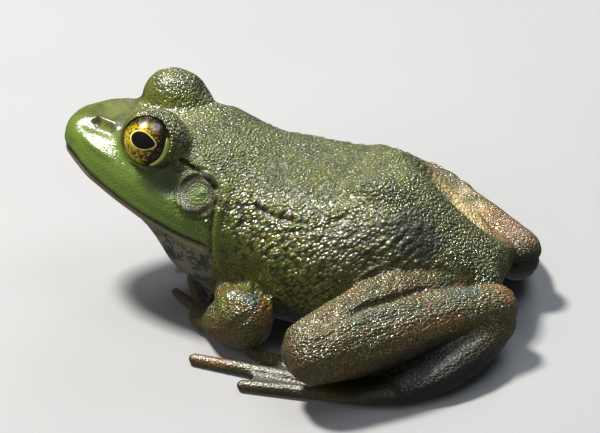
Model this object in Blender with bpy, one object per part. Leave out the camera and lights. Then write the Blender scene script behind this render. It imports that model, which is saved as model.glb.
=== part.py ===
"""A bullfrog crouched at rest, life size, as solids that meet in thin cuts where its parts are named.

Metres, +Z up. The frog faces -Y and its left side is +X. The floor is Z = 0, and the origin is on
it, under the middle of the whole animal. Sizes in the tables are millimetres: lateral is the
distance to the left of the midline, along is the distance behind the snout's tip, and height is
above the floor.
"""

from collections import namedtuple
from math import cos, pi, radians, sin, sqrt

import bmesh
import bpy
import numpy as np
from mathutils import Matrix, Vector
from mathutils.bvhtree import BVHTree

MM = 0.001
MIDDLE = 72.5  # how far behind the snout's tip the origin lies
ASIDE = -3.8  # the spine's own place: the left knee reaches further out than the right one
CUT = 0.3 * MM  # the gap between two parts that meet
SUNK = 0.3  # how far fingers are pressed below the floor, which trims them flat

EYE_SPOT = (13.8, 31.4, 55.6)
EYE_RADIUS = 7.7
EYE_TURN = radians(8)  # how far the eyes look forward of straight sideways
EYE_LIFT = radians(19)
LID_RADIUS = 7.1  # the opening between the lids, where it meets the eyeball
LID_FLARE = 17.0  # and 10 mm further out
EAR_ALONG, EAR_HEIGHT = 47.0, 44.8
EAR_RADIUS = 6.4
EAR_THICKNESS = 1.8
EAR_TAPER = 0.94
EAR_DEPTH = 0.35  # the share of the drum's thickness that its middle lies under the skin

# One cross-section of the head and trunk. The two powers square off its upper and lower halves.
Station = namedtuple("Station", "along half_width top widest bottom upper_power lower_power")
TORSO = (
    Station(0.4, 3.6, 50.2, 47.0, 44.6, 2.0, 2.0),  # tip of the snout
    Station(2.2, 8.2, 52.4, 46.6, 42.2, 2.1, 2.0),
    Station(5.5, 12.2, 53.9, 45.9, 39.2, 2.2, 2.0),
    Station(11.0, 16.0, 54.8, 44.2, 35.6, 2.2, 2.0),  # nostrils
    Station(20.0, 20.6, 55.4, 41.0, 31.4, 2.1, 2.0),
    Station(28.0, 23.8, 56.0, 38.2, 27.5, 2.1, 2.0),  # eyes
    Station(33.5, 25.4, 56.2, 36.5, 18.0, 2.1, 2.0),
    Station(38.5, 26.6, 56.2, 35.0, 9.0, 2.1, 2.0),  # throat
    Station(45.0, 27.6, 55.6, 32.8, 4.0, 2.1, 2.0),  # ears
    Station(53.0, 28.0, 53.8, 30.0, 0.8, 2.1, 2.1),  # neck
    Station(62.0, 29.0, 51.0, 27.0, -0.8, 2.1, 2.3),  # shoulders
    Station(74.0, 32.0, 48.6, 24.5, -1.0, 2.1, 2.5),
    Station(86.0, 33.8, 47.4, 23.0, -1.0, 2.1, 2.6),  # belly
    Station(97.0, 33.0, 48.2, 22.0, -1.0, 2.1, 2.6),
    Station(105.0, 31.0, 49.2, 21.5, -0.6, 2.0, 2.4),  # sacral hump
    Station(113.0, 28.5, 45.2, 21.0, 1.0, 2.0, 2.2),
    Station(122.0, 23.0, 37.4, 20.5, 4.0, 2.0, 2.0),
    Station(130.0, 16.5, 30.6, 20.0, 8.0, 2.0, 2.0),
    Station(136.0, 9.5, 25.6, 19.5, 12.0, 2.0, 2.0),
)
SNOUT_POLE = (0, 0.0, 47.0)
VENT_POLE = (0, 138.6, 20.0)

# Bumps that are joined to the torso: centre, then half sizes across, along and up.
TORSO_BUMPS = (
    ((12.4, 31.6, 55.0), (9.4, 10.4, 9.2)),  # lids round the eyeball
    ((9.6, 99.5, 41.0), (8.0, 12.0, 8.8)),  # end of the hip bone, at the hump
    ((8.5, 129.5, 17.0), (8.5, 9.0, 8.5)),  # buttock
)

# Where the lips meet, from the front of the mouth to its corner: along, height.
LIP_LINE = (
    (-4.0, 44.8),
    (3.0, 44.6),
    (10.0, 42.8),
    (16.0, 40.4),
    (22.0, 38.0),
    (31.0, 35.0),
    (41.0, 32.1),
    (52.1, 29.4),
)
NECK_TOP = (57.0, 60.0)  # the neck's cut leans forward from here
NECK_FOOT = (47.5, 5.0)

# One cross-section of a limb, square to its length.
Section = namedtuple("Section", "lateral along height half_width half_height")
UPPER_ARM = (
    Section(20.0, 61.0, 17.5, 7.6, 7.8),  # shoulder
    Section(29.0, 63.5, 16.2, 8.6, 8.8),
    Section(37.0, 66.5, 14.2, 8.8, 9.2),  # elbow
)
FOREARM = (
    Section(37.5, 66.5, 12.2, 8.4, 9.2),  # elbow
    Section(34.5, 61.0, 8.8, 7.6, 8.2),
    Section(30.0, 56.0, 4.8, 5.4, 4.8),  # wrist
)
PALM = (
    Section(30.0, 56.0, 3.6, 4.4, 3.8),
    Section(26.5, 52.0, 2.6, 5.2, 3.0),
    Section(22.0, 48.6, 1.9, 4.6, 2.5),
)
FINGER_ROOT = (23.5, 49.8, 1.9)
# Each finger's direction, turned from straight ahead towards the midline, its length and its radius.
FINGERS = ((116, 17.0, 2.1), (88, 18.0, 1.8), (64, 25.0, 1.9), (44, 18.5, 1.8))
HAND_TURNS = {"left": 0, "right": -16}  # the right hand points further forward

# Each leg's joints. The shin starts beside the knee, and the tarsus below the heel.
Leg = namedtuple("Leg", "hip knee shin heel tarsus ankle")
HEEL = (17, 138, 15)
TARSUS_TOP = (16.5, 138.5, 10.2)
LEGS = {
    "left": Leg((14, 121, 18), (57.5, 91, 17), (60, 93.5, 17.4), HEEL, TARSUS_TOP, (50.5, 117, 4)),
    "right": Leg((13, 119, 18), (50, 83, 15), (52.5, 85, 15.6), HEEL, TARSUS_TOP, (48, 116.5, 4)),
}
# How the flesh swells along a bone. share is the share of its length; the flesh also rises and
# bows outwards there.
Swell = namedtuple("Swell", "share half_width half_height rise bow")
THIGH = (
    Swell(0.0, 10.0, 10.5, 0, 0),
    Swell(0.32, 11.0, 12.0, 0, 0),
    Swell(0.62, 9.8, 11.6, 0, 0),
    Swell(0.85, 8.8, 10.4, 0, 0),
    Swell(1.0, 7.6, 9.2, 0, 0),
)
SHANK = (
    Swell(0.0, 8.2, 9.2, 0, 0),
    Swell(0.2, 9.6, 10.2, 0, 0),
    Swell(0.42, 10.0, 10.2, 0.4, 0),  # calf
    Swell(0.7, 8.2, 8.6, 1.0, 0),
    Swell(1.0, 6.8, 7.4, 0, 0),
)
TARSUS = (
    Swell(0.0, 6.0, 7.0, 0, 0),
    Swell(0.35, 6.6, 6.6, 0, 4),
    Swell(0.7, 6.6, 5.6, 0, 4),
    Swell(1.0, 6.2, 4.0, 0, 0),
)

# The foot, as laterals and alongs from the ankle.
SOLE = (
    Section(0.0, 0.0, 3.2, 6.2, 3.6),
    Section(1.0, -10.0, 2.4, 7.4, 2.9),
    Section(1.0, -20.0, 1.9, 7.6, 2.4),
)
# Each toe: where it leaves the sole, its tip, its radius and how far down it the web reaches.
Toe = namedtuple("Toe", "root tip radius webbed")
TOES = (
    Toe((-3.5, -7.0), (-16.0, -21.0), 2.3, 0.96),
    Toe((-3.0, -11.0), (-15.0, -34.0), 2.3, 0.93),
    Toe((-1.5, -13.0), (-11.5, -49.5), 2.4, 0.90),
    Toe((1.5, -15.0), (-3.5, -65.0), 2.5, 0.70),
    Toe((5.0, -13.0), (7.0, -47.0), 2.3, 0.96),
)
FOOT_TURNS = {"left": 0, "right": 4}
TOE_HEIGHT = 1.6
WEB_HOLLOW = 0.14  # how far back the web's front edge is drawn in, as a share of its length
WEB_HALF_THICKNESS = 0.8

# The most triangles that each part is left with.
TRIANGLES = {
    "head": 1500,
    "lower_jaw": 480,
    "trunk": 1400,
    "upper_arm": 240,
    "forearm": 300,
    "hand": 400,
    "thigh": 400,
    "shank": 480,
    "tarsus": 330,
    "foot": 640,
}

# Slot: base colour, roughness.
FINISHES = {
    "skin_back": ((0.20, 0.22, 0.09), 0.45),
    "skin_face": ((0.19, 0.33, 0.08), 0.40),
    "skin_throat": ((0.42, 0.43, 0.36), 0.50),
    "skin_leg": ((0.20, 0.17, 0.08), 0.45),
    "skin_ear": ((0.22, 0.24, 0.10), 0.50),
    "eye": ((0.60, 0.42, 0.06), 0.10),
}


def spot(lateral, along, height):
    """The point in metres."""
    return Vector((lateral, along - MIDDLE, height)) * MM


def clear_scene():
    """Removes what the scene holds."""
    for thing in list(bpy.data.objects):
        bpy.data.objects.remove(thing)


def material(slot):
    """The slot's Principled material, made once."""
    if slot in bpy.data.materials:
        return bpy.data.materials[slot]
    colour, roughness = FINISHES[slot]
    made = bpy.data.materials.new(slot)
    made.use_nodes = True
    shader = made.node_tree.nodes["Principled BSDF"]
    shader.inputs["Base Color"].default_value = (*colour, 1.0)
    shader.inputs["Roughness"].default_value = roughness
    shader.inputs["Metallic"].default_value = 0.0
    return made


def new_object(name, body):
    """An object that holds the bmesh, which is freed."""
    mesh = bpy.data.meshes.new(name)
    body.to_mesh(mesh)
    body.free()
    made = bpy.data.objects.new(name, mesh)
    bpy.context.scene.collection.objects.link(made)
    return made


def lofted(name, rings, first_pole, last_pole):
    """A closed form through rings of equal count, drawn together to a pole at each end."""
    body = bmesh.new()
    loops = [[body.verts.new(point) for point in ring] for ring in rings]
    for one, two in zip(loops, loops[1:]):
        for i in range(len(one)):
            body.faces.new((one[i - 1], one[i], two[i], two[i - 1]))
    for loop, pole in ((loops[0], first_pole), (loops[-1], last_pole)):
        tip = body.verts.new(pole)
        for i in range(len(loop)):
            body.faces.new((loop[i - 1], loop[i], tip))
    bmesh.ops.recalc_face_normals(body, faces=body.faces)
    return new_object(name, body)


def through(rows, count):
    """The table's rows, joined by a Catmull-Rom curve and read at count even steps."""
    table = np.array(rows, float)
    ends = np.vstack([2 * table[0] - table[1], table, 2 * table[-1] - table[-2]])
    found = []
    for step in np.linspace(0, len(table) - 1, count):
        k = min(int(step), len(table) - 2)
        t = step - k
        a, b, c, d = ends[k : k + 4]
        found.append(b + 0.5 * t * (c - a + t * (2 * a - 5 * b + 4 * c - d + t * (3 * (b - c) + d - a))))
    return found


def squared(value, power):
    """A sine or cosine, bent so that the section is a superellipse of that power."""
    return abs(value) ** (2 / power) * (1 if value > 0 else -1)


def torso_form():
    """The head and trunk as one loft along the midline."""
    rings = []
    for row in through(TORSO, 56):
        here = Station(*row)
        ring = []
        for step in range(40):
            turn = 2 * pi * step / 40
            upper = sin(turn) > 0
            power = here.upper_power if upper else here.lower_power
            reach = (here.top if upper else 2 * here.widest - here.bottom) - here.widest
            ring.append(
                spot(
                    here.half_width * squared(cos(turn), power),
                    here.along,
                    here.widest + reach * squared(sin(turn), power),
                )
            )
        rings.append(ring)
    return lofted("torso", rings, spot(*SNOUT_POLE), spot(*VENT_POLE))


def ellipsoid(name, centre, half_sizes, segments=24):
    """A closed round form at centre, in millimetres."""
    body = bmesh.new()
    bmesh.ops.create_uvsphere(body, u_segments=segments, v_segments=segments // 2, radius=1)
    bmesh.ops.scale(body, vec=Vector(half_sizes) * MM, verts=body.verts)
    bmesh.ops.translate(body, vec=spot(*centre), verts=body.verts)
    return new_object(name, body)


def limb(name, sections, rings=12, points=16, grow=0.0, cap_rings=3):
    """A limb through its sections, with round ends. grow is millimetres added all over."""
    rows = [Section(*row) for row in through(sections, rings)]
    middles = [spot(row.lateral, row.along, row.height) for row in rows]
    circle = [(cos(2 * pi * k / points), sin(2 * pi * k / points)) for k in range(points)]
    loops = []
    for i, row in enumerate(rows):
        way = (middles[min(i + 1, rings - 1)] - middles[max(i - 1, 0)]).normalized()
        side = way.cross(Vector((0, 0, 1))).normalized()
        up = side.cross(way)
        wide, high = (row.half_width + grow) * MM, (row.half_height + grow) * MM
        caps = [(0, 1)]
        end = -1 if i == 0 else 1 if i == rings - 1 else 0
        if end:
            turns = [pi / 2 * k / (cap_rings + 1) for k in range(1, cap_rings + 1)]
            caps += [(end * sin(turn), cos(turn)) for turn in turns]
        cap_length = min(wide, high)
        made = []
        for out, shrink in caps:
            middle = middles[i] + way * cap_length * out
            made.append([middle + (side * wide * x + up * high * z) * shrink for x, z in circle])
        loops += made[::-1] if i == 0 else made
        if i == 0:
            first = middles[i] - way * cap_length
        last = middles[i] + way * cap_length
    return lofted(name, loops, first, last)


def joined(name, forms):
    """The forms' meshes in one object, still overlapping."""
    body = bmesh.new()
    for form in forms:
        body.from_mesh(form.data)
        bpy.data.objects.remove(form)
    return new_object(name, body)


def applied(form):
    """The form with its modifiers made real."""
    bpy.context.view_layer.update()
    seen = form.evaluated_get(bpy.context.evaluated_depsgraph_get())
    mesh = bpy.data.meshes.new_from_object(seen)
    form.modifiers.clear()
    form.data = mesh
    return form


def thinned(form, triangles):
    """The form with no more than about that many triangles."""
    thin = form.modifiers.new("Decimate", "DECIMATE")
    thin.ratio = min(1, triangles / sum(len(face.vertices) - 2 for face in form.data.polygons))
    thin.use_collapse_triangulate = True
    return applied(form)


def fused(form, voxel, smoothing, triangles):
    """One skin over overlapping forms, smoothed and thinned to about that many triangles."""
    remesh = form.modifiers.new("Remesh", "REMESH")
    remesh.mode = "VOXEL"
    remesh.voxel_size = voxel * MM
    smooth = form.modifiers.new("Smooth", "SMOOTH")
    smooth.factor = 0.5
    smooth.iterations = smoothing
    return thinned(applied(form), triangles)


def mirrored_halves(form):
    """The left half kept and copied to the right, so that both sides match."""
    body = bmesh.new()
    body.from_mesh(form.data)
    every = body.verts[:] + body.edges[:] + body.faces[:]
    bmesh.ops.symmetrize(body, input=every, direction="X", dist=0.02 * MM)
    bmesh.ops.triangulate(body, faces=body.faces)
    body.to_mesh(form.data)
    body.free()
    return form


def islands(body):
    """The bmesh's separate pieces, as lists of vertices, largest first."""
    left = set(body.verts)
    found = []
    while left:
        piece, edge = set(), [left.pop()]
        while edge:
            here = edge.pop()
            piece.add(here)
            near = {e.other_vert(here) for e in here.link_edges} & left
            left -= near
            edge.extend(near)
        found.append(list(piece))
    return sorted(found, key=len, reverse=True)


def cut_away(form, cutter):
    """The form with the cutter's space taken out of it."""
    cut = form.modifiers.new("Cut", "BOOLEAN")
    cut.operation = "DIFFERENCE"
    cut.solver = "EXACT"
    cut.object = cutter
    return applied(form)


def cut_once(form, cutter):
    """The form with the cutter's space taken out of it, and the cutter used up."""
    cut_away(form, cutter)
    bpy.data.objects.remove(cutter)
    return form


def largest_piece(form):
    """The form without the crumbs that a cut leaves."""
    body = bmesh.new()
    body.from_mesh(form.data)
    crumbs = [vert for piece in islands(body)[1:] for vert in piece]
    bmesh.ops.delete(body, geom=crumbs, context="VERTS")
    body.to_mesh(form.data)
    body.free()
    return form


def grown(form):
    """A copy of the form, swollen by the width of a cut."""
    copy = bpy.data.objects.new("space", form.data.copy())
    bpy.context.scene.collection.objects.link(copy)
    swell = copy.modifiers.new("Displace", "DISPLACE")
    swell.mid_level = 0
    swell.strength = CUT
    return applied(copy)


def cut_in_turn(forms, spaces, body_space):
    """Each form, cut back from the body and from the forms before it by the spaces those take up."""
    for k, form in enumerate(forms):
        for cutter in [body_space] + spaces[:k]:
            cut_away(form, cutter)
        largest_piece(form)
    for cutter in spaces:
        bpy.data.objects.remove(cutter)
    return forms


def trimmed_by_floor(form):
    """The form with all that reaches below the floor cut off, which leaves it a flat."""
    body = bmesh.new()
    bmesh.ops.create_cube(body, size=1)
    bmesh.ops.scale(body, vec=(1, 1, 0.05), verts=body.verts)
    bmesh.ops.translate(body, vec=(0, 0, -0.025), verts=body.verts)
    return largest_piece(cut_once(form, new_object("floor_space", body)))


def swept_slab(name, line, half_width):
    """A thin slab across the midline whose edge follows the line of (along, height) points."""
    body = bmesh.new()
    half_gap = CUT / MM / 2
    upper = [spot(-half_width, along, height + half_gap) for along, height in line]
    lower = [spot(-half_width, along, height - half_gap) for along, height in reversed(line)]
    face = body.faces.new([body.verts.new(point) for point in upper + lower])
    moved = bmesh.ops.extrude_face_region(body, geom=[face])["geom"]
    across = Vector((2 * half_width * MM, 0, 0))
    bmesh.ops.translate(body, vec=across, verts=[v for v in moved if isinstance(v, bmesh.types.BMVert)])
    bmesh.ops.recalc_face_normals(body, faces=body.faces)
    return new_object(name, body)


def neck_slab():
    """A thin slab across the neck, which leans forward as it goes down."""
    body = bmesh.new()
    lean = Vector((0, NECK_TOP[0] - NECK_FOOT[0], NECK_TOP[1] - NECK_FOOT[1])).normalized()
    middle = (spot(0, *NECK_TOP) + spot(0, *NECK_FOOT)) / 2
    bmesh.ops.create_cube(body, size=1)
    bmesh.ops.scale(body, vec=(0.12, CUT, 0.09), verts=body.verts)
    turn = Matrix.Rotation(-Vector((0, 0, 1)).angle(lean), 3, "X")
    bmesh.ops.rotate(body, matrix=turn, verts=body.verts)
    bmesh.ops.translate(body, vec=middle, verts=body.verts)
    return new_object("neck_slab", body)


def parted(form, names_by_place):
    """The form's separate pieces as named objects. names_by_place gives a name for a middle point."""
    body = bmesh.new()
    body.from_mesh(form.data)
    made = {}
    for piece in islands(body)[:3]:
        middle = sum((vert.co for vert in piece), Vector()) / len(piece)
        part = body.copy()
        part.verts.ensure_lookup_table()
        kept = {vert.index for vert in piece}
        bmesh.ops.delete(part, geom=[v for v in part.verts if v.index not in kept], context="VERTS")
        name = names_by_place(middle)
        made[name] = new_object(name, part)
    body.free()
    bpy.data.objects.remove(form)
    return made


def torso_name(middle):
    """Which part of the torso a piece with that middle is."""
    if middle.y > spot(0, 70, 0).y:
        return "trunk"
    return "head" if middle.z > 40 * MM else "lower_jaw"


def looking_out(body, side):
    """Turns the bmesh's +Z the way the eye looks and moves it to the eye's middle."""
    lateral, along, height = EYE_SPOT
    gaze = Vector((side * cos(EYE_TURN) * cos(EYE_LIFT), -sin(EYE_TURN) * cos(EYE_LIFT), sin(EYE_LIFT)))
    turn = Vector((0, 0, 1)).rotation_difference(gaze).to_matrix()
    bmesh.ops.rotate(body, matrix=turn, verts=body.verts)
    bmesh.ops.translate(body, vec=spot(side * lateral, along, height), verts=body.verts)


def eye(side, radius):
    """An eyeball whose pole looks the way the pupil does. side is 1 for left and -1 for right."""
    body = bmesh.new()
    bmesh.ops.create_uvsphere(body, u_segments=18, v_segments=10, radius=radius * MM)
    looking_out(body, side)
    return new_object("eye_left" if side > 0 else "eye_right", body)


def lid_opening(side):
    """The flared space between the lids, in front of the eyeball."""
    body = bmesh.new()
    bmesh.ops.create_cone(
        body, cap_ends=True, segments=28, radius1=LID_RADIUS * MM, radius2=LID_FLARE * MM, depth=10 * MM
    )
    start = sqrt(EYE_RADIUS**2 - LID_RADIUS**2) + 5
    bmesh.ops.translate(body, vec=(0, 0, start * MM), verts=body.verts)
    looking_out(body, side)
    return new_object("lid_opening", body)


def ear_drum(side, head_tree, radius, thickness):
    """A low round drum set in the side of the head, square to the skin there."""
    start = spot(side * 60, EAR_ALONG, EAR_HEIGHT)
    place, normal, _, _ = head_tree.ray_cast(start, Vector((-side, 0, 0)))
    body = bmesh.new()
    wide, narrow = radius * MM, radius * MM * EAR_TAPER
    bmesh.ops.create_cone(
        body, cap_ends=True, segments=24, radius1=wide, radius2=narrow, depth=thickness * MM
    )
    turn = Vector((0, 0, 1)).rotation_difference(normal).to_matrix()
    bmesh.ops.rotate(body, matrix=turn, verts=body.verts)
    bmesh.ops.translate(body, vec=place - normal * EAR_DEPTH * thickness * MM, verts=body.verts)
    return new_object("ear_left" if side > 0 else "ear_right", body)


def make_torso():
    """The head, lower jaw, trunk, eyes and ears, and the space that they take up together."""
    forms = [torso_form()]
    for centre, half_sizes in TORSO_BUMPS:
        for side in (1, -1):
            lateral, along, height = centre
            forms.append(ellipsoid("bump", (side * lateral, along, height), half_sizes))
    torso = mirrored_halves(fused(joined("torso", forms), voxel=1.1, smoothing=8, triangles=2700))
    space = grown(torso)
    cut_once(torso, neck_slab())
    cut_once(torso, swept_slab("mouth_slab", LIP_LINE, 45))
    parts = parted(torso, torso_name)

    head = parts["head"]
    tree = BVHTree.FromObject(head, bpy.context.evaluated_depsgraph_get())
    for side in (1, -1):
        cut_once(head, lid_opening(side))
        cut_once(head, eye(side, EYE_RADIUS + CUT / MM))
        cut_once(head, ear_drum(side, tree, EAR_RADIUS + CUT / MM, EAR_THICKNESS + 2 * CUT / MM))
        for piece in (eye(side, EYE_RADIUS), ear_drum(side, tree, EAR_RADIUS, EAR_THICKNESS)):
            parts[piece.name] = piece
    largest_piece(head)
    return parts, space


def make_hand(side):
    """The palm with its four fingers."""
    forms = [limb("palm", PALM, rings=6, points=12)]
    for degrees, length, radius in FINGERS:
        lateral, along, height = FINGER_ROOT
        turn = radians(degrees + HAND_TURNS[side])
        sections = [
            Section(
                lateral - share * length * sin(turn),
                along - share * length * cos(turn),
                height - share * (height - radius + SUNK),
                radius * (1.1 - 0.25 * share),
                radius * (1.0 - 0.25 * share),
            )
            for share in (0.0, 0.5, 0.95)
        ]
        forms.append(limb("finger", sections, rings=6, points=8, cap_rings=2))
    return fused(joined("hand", forms), voxel=0.45, smoothing=4, triangles=380)


def web_between(one, two, place):
    """A thin web that fills the space between two neighbouring toes, with a hollow front edge."""
    roots = [Vector(toe.root) for toe in (one, two)]
    ends = [Vector(toe.root).lerp(Vector(toe.tip), toe.webbed) for toe in (one, two)]
    hollow = ((ends[0] + ends[1]) / 2).lerp((roots[0] + roots[1]) / 2, WEB_HOLLOW)
    sides = [root.lerp(end, 0.5) for root, end in zip(roots, ends)]
    outline = (roots[0], sides[0], ends[0], hollow, ends[1], sides[1], roots[1])
    body = bmesh.new()
    floor, roof = (
        [body.verts.new(spot(*place(*corner), height)) for corner in outline]
        for height in (TOE_HEIGHT - WEB_HALF_THICKNESS, TOE_HEIGHT + WEB_HALF_THICKNESS)
    )
    body.faces.new(floor)
    body.faces.new(roof[::-1])
    for k in range(len(outline)):
        body.faces.new((floor[k - 1], roof[k - 1], roof[k], floor[k]))
    bmesh.ops.triangulate(body, faces=body.faces)
    bmesh.ops.recalc_face_normals(body, faces=body.faces)
    return new_object("web", body)


def make_foot(side):
    """The sole with its five webbed toes, laid out from the ankle."""
    ankle = LEGS[side].ankle
    turn = radians(FOOT_TURNS[side])

    def place(lateral, along):
        """Where a point of the foot's own layout lies on the floor."""
        return (
            ankle[0] + lateral * cos(turn) - along * sin(turn),
            ankle[1] + lateral * sin(turn) + along * cos(turn),
        )

    sole = [Section(*place(row.lateral, row.along), *row[2:]) for row in SOLE]
    forms = [limb("sole", sole, rings=7, points=14)]
    for toe in TOES:
        sections = [
            Section(
                *place(*Vector(toe.root).lerp(Vector(toe.tip), share)),
                TOE_HEIGHT + 0.5 * (1 - share),
                toe.radius * (1.1 - 0.35 * share),
                toe.radius * (1.0 - 0.3 * share),
            )
            for share in (0.0, 0.33, 0.66, 0.97)
        ]
        forms.append(limb("toe", sections, rings=9, points=8, cap_rings=2))
    forms += [web_between(one, two, place) for one, two in zip(TOES, TOES[1:])]
    return fused(joined("foot", forms), voxel=0.45, smoothing=3, triangles=640)


def bone(name, start, end, swelling, **detail):
    """A limb from one joint to the next, with that swelling of flesh along it."""
    sections = []
    way = (Vector(end) - Vector(start)).normalized()
    outwards = Vector((abs(way.y), abs(way.x), 0))
    for share, half_width, half_height, rise, bow in swelling:
        middle = Vector(start).lerp(Vector(end), share) + outwards * bow + Vector((0, 0, rise))
        sections.append(Section(*middle, half_width, half_height))
    return limb(name, sections, **detail)


def make_arm(side, body_space):
    """An arm as a left one, part by part from the shoulder."""
    spaces = [limb("space", table, rings=7, points=14, grow=CUT / MM) for table in (UPPER_ARM, FOREARM)]
    forms = [
        limb("upper_arm", UPPER_ARM, rings=7, points=14),
        limb("forearm", FOREARM, rings=7, points=14),
        make_hand(side),
    ]
    return cut_in_turn(forms, spaces, body_space)


def leg_bones(side, grow):
    """The thigh, shank and tarsus of that side as whole forms, swollen by grow millimetres."""
    joint = LEGS[side]
    return [
        bone("thigh", joint.hip, joint.knee, THIGH, rings=9, grow=grow),
        bone("shank", joint.shin, joint.heel, SHANK, rings=9, grow=grow),
        bone("tarsus", joint.tarsus, joint.ankle, TARSUS, rings=8, points=14, grow=grow),
    ]


def make_leg(side, body_space):
    """A leg as a left one, part by part from the hip."""
    return cut_in_turn(leg_bones(side, 0) + [make_foot(side)], leg_bones(side, CUT / MM), body_space)


def on_side(part, side):
    """Puts the part on its side of the body and names it for that."""
    part.name = f"{part.name}_{side}"
    if side == "right":
        body = bmesh.new()
        body.from_mesh(part.data)
        bmesh.ops.scale(body, vec=(-1, 1, 1), verts=body.verts)
        bmesh.ops.reverse_faces(body, faces=body.faces)
        body.to_mesh(part.data)
        body.free()
    return part


def centred(parts):
    """Moves every part aside, so that the origin is under the middle of the whole animal."""
    for part in parts:
        part.data.transform(Matrix.Translation(Vector((ASIDE, 0, 0)) * MM))


def finish(part, slot):
    """Gives the part its material and smooth shading, with its flats and cuts left sharp."""
    part.data.materials.clear()
    part.data.materials.append(material(slot))
    part.data.shade_smooth()
    part.data.set_sharp_from_angle(angle=radians(50))


def slot_of(name):
    """The material slot of a part."""
    starts = {
        "head": "skin_face",
        "lower_jaw": "skin_throat",
        "trunk": "skin_back",
        "eye": "eye",
        "ear": "skin_ear",
    }
    found = [slot for start, slot in starts.items() if name.startswith(start)]
    return found[0] if found else "skin_leg"


def main():
    """Builds every part."""
    clear_scene()
    parts, body_space = make_torso()
    for side in ("left", "right"):
        for part in make_arm(side, body_space) + make_leg(side, body_space):
            on_side(part, side)
            parts[part.name] = part
    bpy.data.objects.remove(body_space)
    for name, part in parts.items():
        kind = name.removesuffix("_left").removesuffix("_right")
        if kind in TRIANGLES:
            trimmed_by_floor(thinned(part, TRIANGLES[kind]))
    centred(parts.values())
    for name, part in parts.items():
        finish(part, slot_of(name))


main()
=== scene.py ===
"""The looks of a sitting bullfrog, life size: one wet skin over the flesh, two golden eyes and their lids.

Lengths in this file are in millimetres unless a name or a docstring says otherwise. A spot is (lateral,
along, height): lateral runs out from the midline to the frog's left, along runs from the snout back, and
height runs up from the floor.
"""

import logging
import math
from collections.abc import Sequence
from dataclasses import dataclass, field
from enum import Enum

import bpy
import numpy as np
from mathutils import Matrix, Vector, kdtree


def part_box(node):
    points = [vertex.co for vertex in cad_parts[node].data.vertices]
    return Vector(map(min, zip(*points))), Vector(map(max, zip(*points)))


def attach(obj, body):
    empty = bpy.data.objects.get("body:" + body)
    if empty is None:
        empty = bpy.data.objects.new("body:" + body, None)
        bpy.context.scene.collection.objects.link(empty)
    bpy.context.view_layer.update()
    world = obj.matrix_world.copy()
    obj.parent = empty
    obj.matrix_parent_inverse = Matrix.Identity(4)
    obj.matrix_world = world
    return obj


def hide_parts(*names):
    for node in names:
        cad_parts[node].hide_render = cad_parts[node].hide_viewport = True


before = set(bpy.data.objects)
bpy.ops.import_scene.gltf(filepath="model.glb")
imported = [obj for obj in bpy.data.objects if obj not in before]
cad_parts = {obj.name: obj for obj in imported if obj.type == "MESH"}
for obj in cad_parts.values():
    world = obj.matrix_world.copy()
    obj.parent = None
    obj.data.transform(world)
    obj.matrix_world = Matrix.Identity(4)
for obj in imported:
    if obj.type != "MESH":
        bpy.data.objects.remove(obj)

log = logging.getLogger("bullfrog")

Triple = tuple[float, float, float]
Spot = Triple
Colour = tuple[float, float, float, float]

MM = 0.001
BODY = "root"
EYE_NODES = ("eye_left", "eye_right")
EAR_NODES = ("ear_left", "ear_right")
TORSO_NODES = ("head", "lower_jaw", *EAR_NODES, "trunk")
DIGIT_NODES = ("hand_left", "hand_right", "foot_left", "foot_right")

# The step from the middle of a solid ear to that of its drum, and distances out from there.
EAR_SHIFT = (0, 1.5, -0.5)
DRUM_RING = 6.6
DRUM_EDGE = (7.1, 6.4)
DRUM_GROOVE = 7.4

# How far back the mouth runs, how wide its groove is, and the cosine of its slope.
MOUTH_END = 54.0
MOUTH_WIDTH = 0.34
MOUTH_COSINE = 0.92

# Large odd numbers that scatter the cells of the noise.
NOISE_PRIMES = np.array((73856093, 19349663, 83492791))
SEED_PRIME = 2654435761
SCRAMBLE = 1274126177


class Side(Enum):
    """The frog's own two sides, by the sign of their lateral places."""

    LEFT = 1
    RIGHT = -1


BOTH = (Side.LEFT, Side.RIGHT)
LEFT_ONLY = (Side.LEFT,)
RIGHT_ONLY = (Side.RIGHT,)


class Tint(Enum):
    """Names of the tints that the skin carries over its olive ground. Most are stains; the darkest is
    painted shade that also darkens the digits and the stain by the nostril, and the palest is partly a
    painted highlight.
    """

    LEAF = "leaf"
    LIME = "lime"
    RUST = "rust"
    SLATE = "slate"
    # Painted shade in grooves, creases, hollows and shaded parts; it also darkens the skin of the digits
    # and the stain by the nostril.
    SHADE_AND_DARK_SKIN = "shade_and_dark_skin"
    CREAM_AND_HIGHLIGHT = "cream_and_highlight"
    # Pale skin, partly a painted highlight: the lit band of the far leg and a highlight along the near
    # canthus.
    BRONZE = "bronze"
    TAN = "tan"


def middle_of(low: Vector, high: Vector) -> np.ndarray:
    """The middle of a box, in millimetres."""
    return (np.array(low) + np.array(high)) / 2 / MM


LEFT_EYE, RIGHT_EYE = (middle_of(*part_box(name)) for name in EYE_NODES)
SNOUT_TO_EYE = 31.4
SPINE = (LEFT_EYE[0] + RIGHT_EYE[0]) / 2
SNOUT = LEFT_EYE[1] - SNOUT_TO_EYE
ORIGIN = np.array((SPINE, SNOUT, 0.0))
EYE_OUT = LEFT_EYE[0] - SPINE
EYE_UP = LEFT_EYE[2]


def on_side(spot: Spot, side: Side) -> np.ndarray:
    """A spot or a step of the left side, or its mirror image on the right."""
    return np.array(spot) * (side.value, 1, 1)


def gap_from(spots: np.ndarray, centre: np.ndarray) -> np.ndarray:
    """The distance of each spot from one middle."""
    return np.linalg.norm(spots - centre, axis=1)


def to_metres(spots: np.ndarray) -> np.ndarray:
    """Spots on the frog as points of the row frame, in metres."""
    return (spots + ORIGIN) * MM


def to_spots(points: np.ndarray) -> np.ndarray:
    """Points of the row frame, in metres, as spots on the frog."""
    return points / MM - ORIGIN


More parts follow.
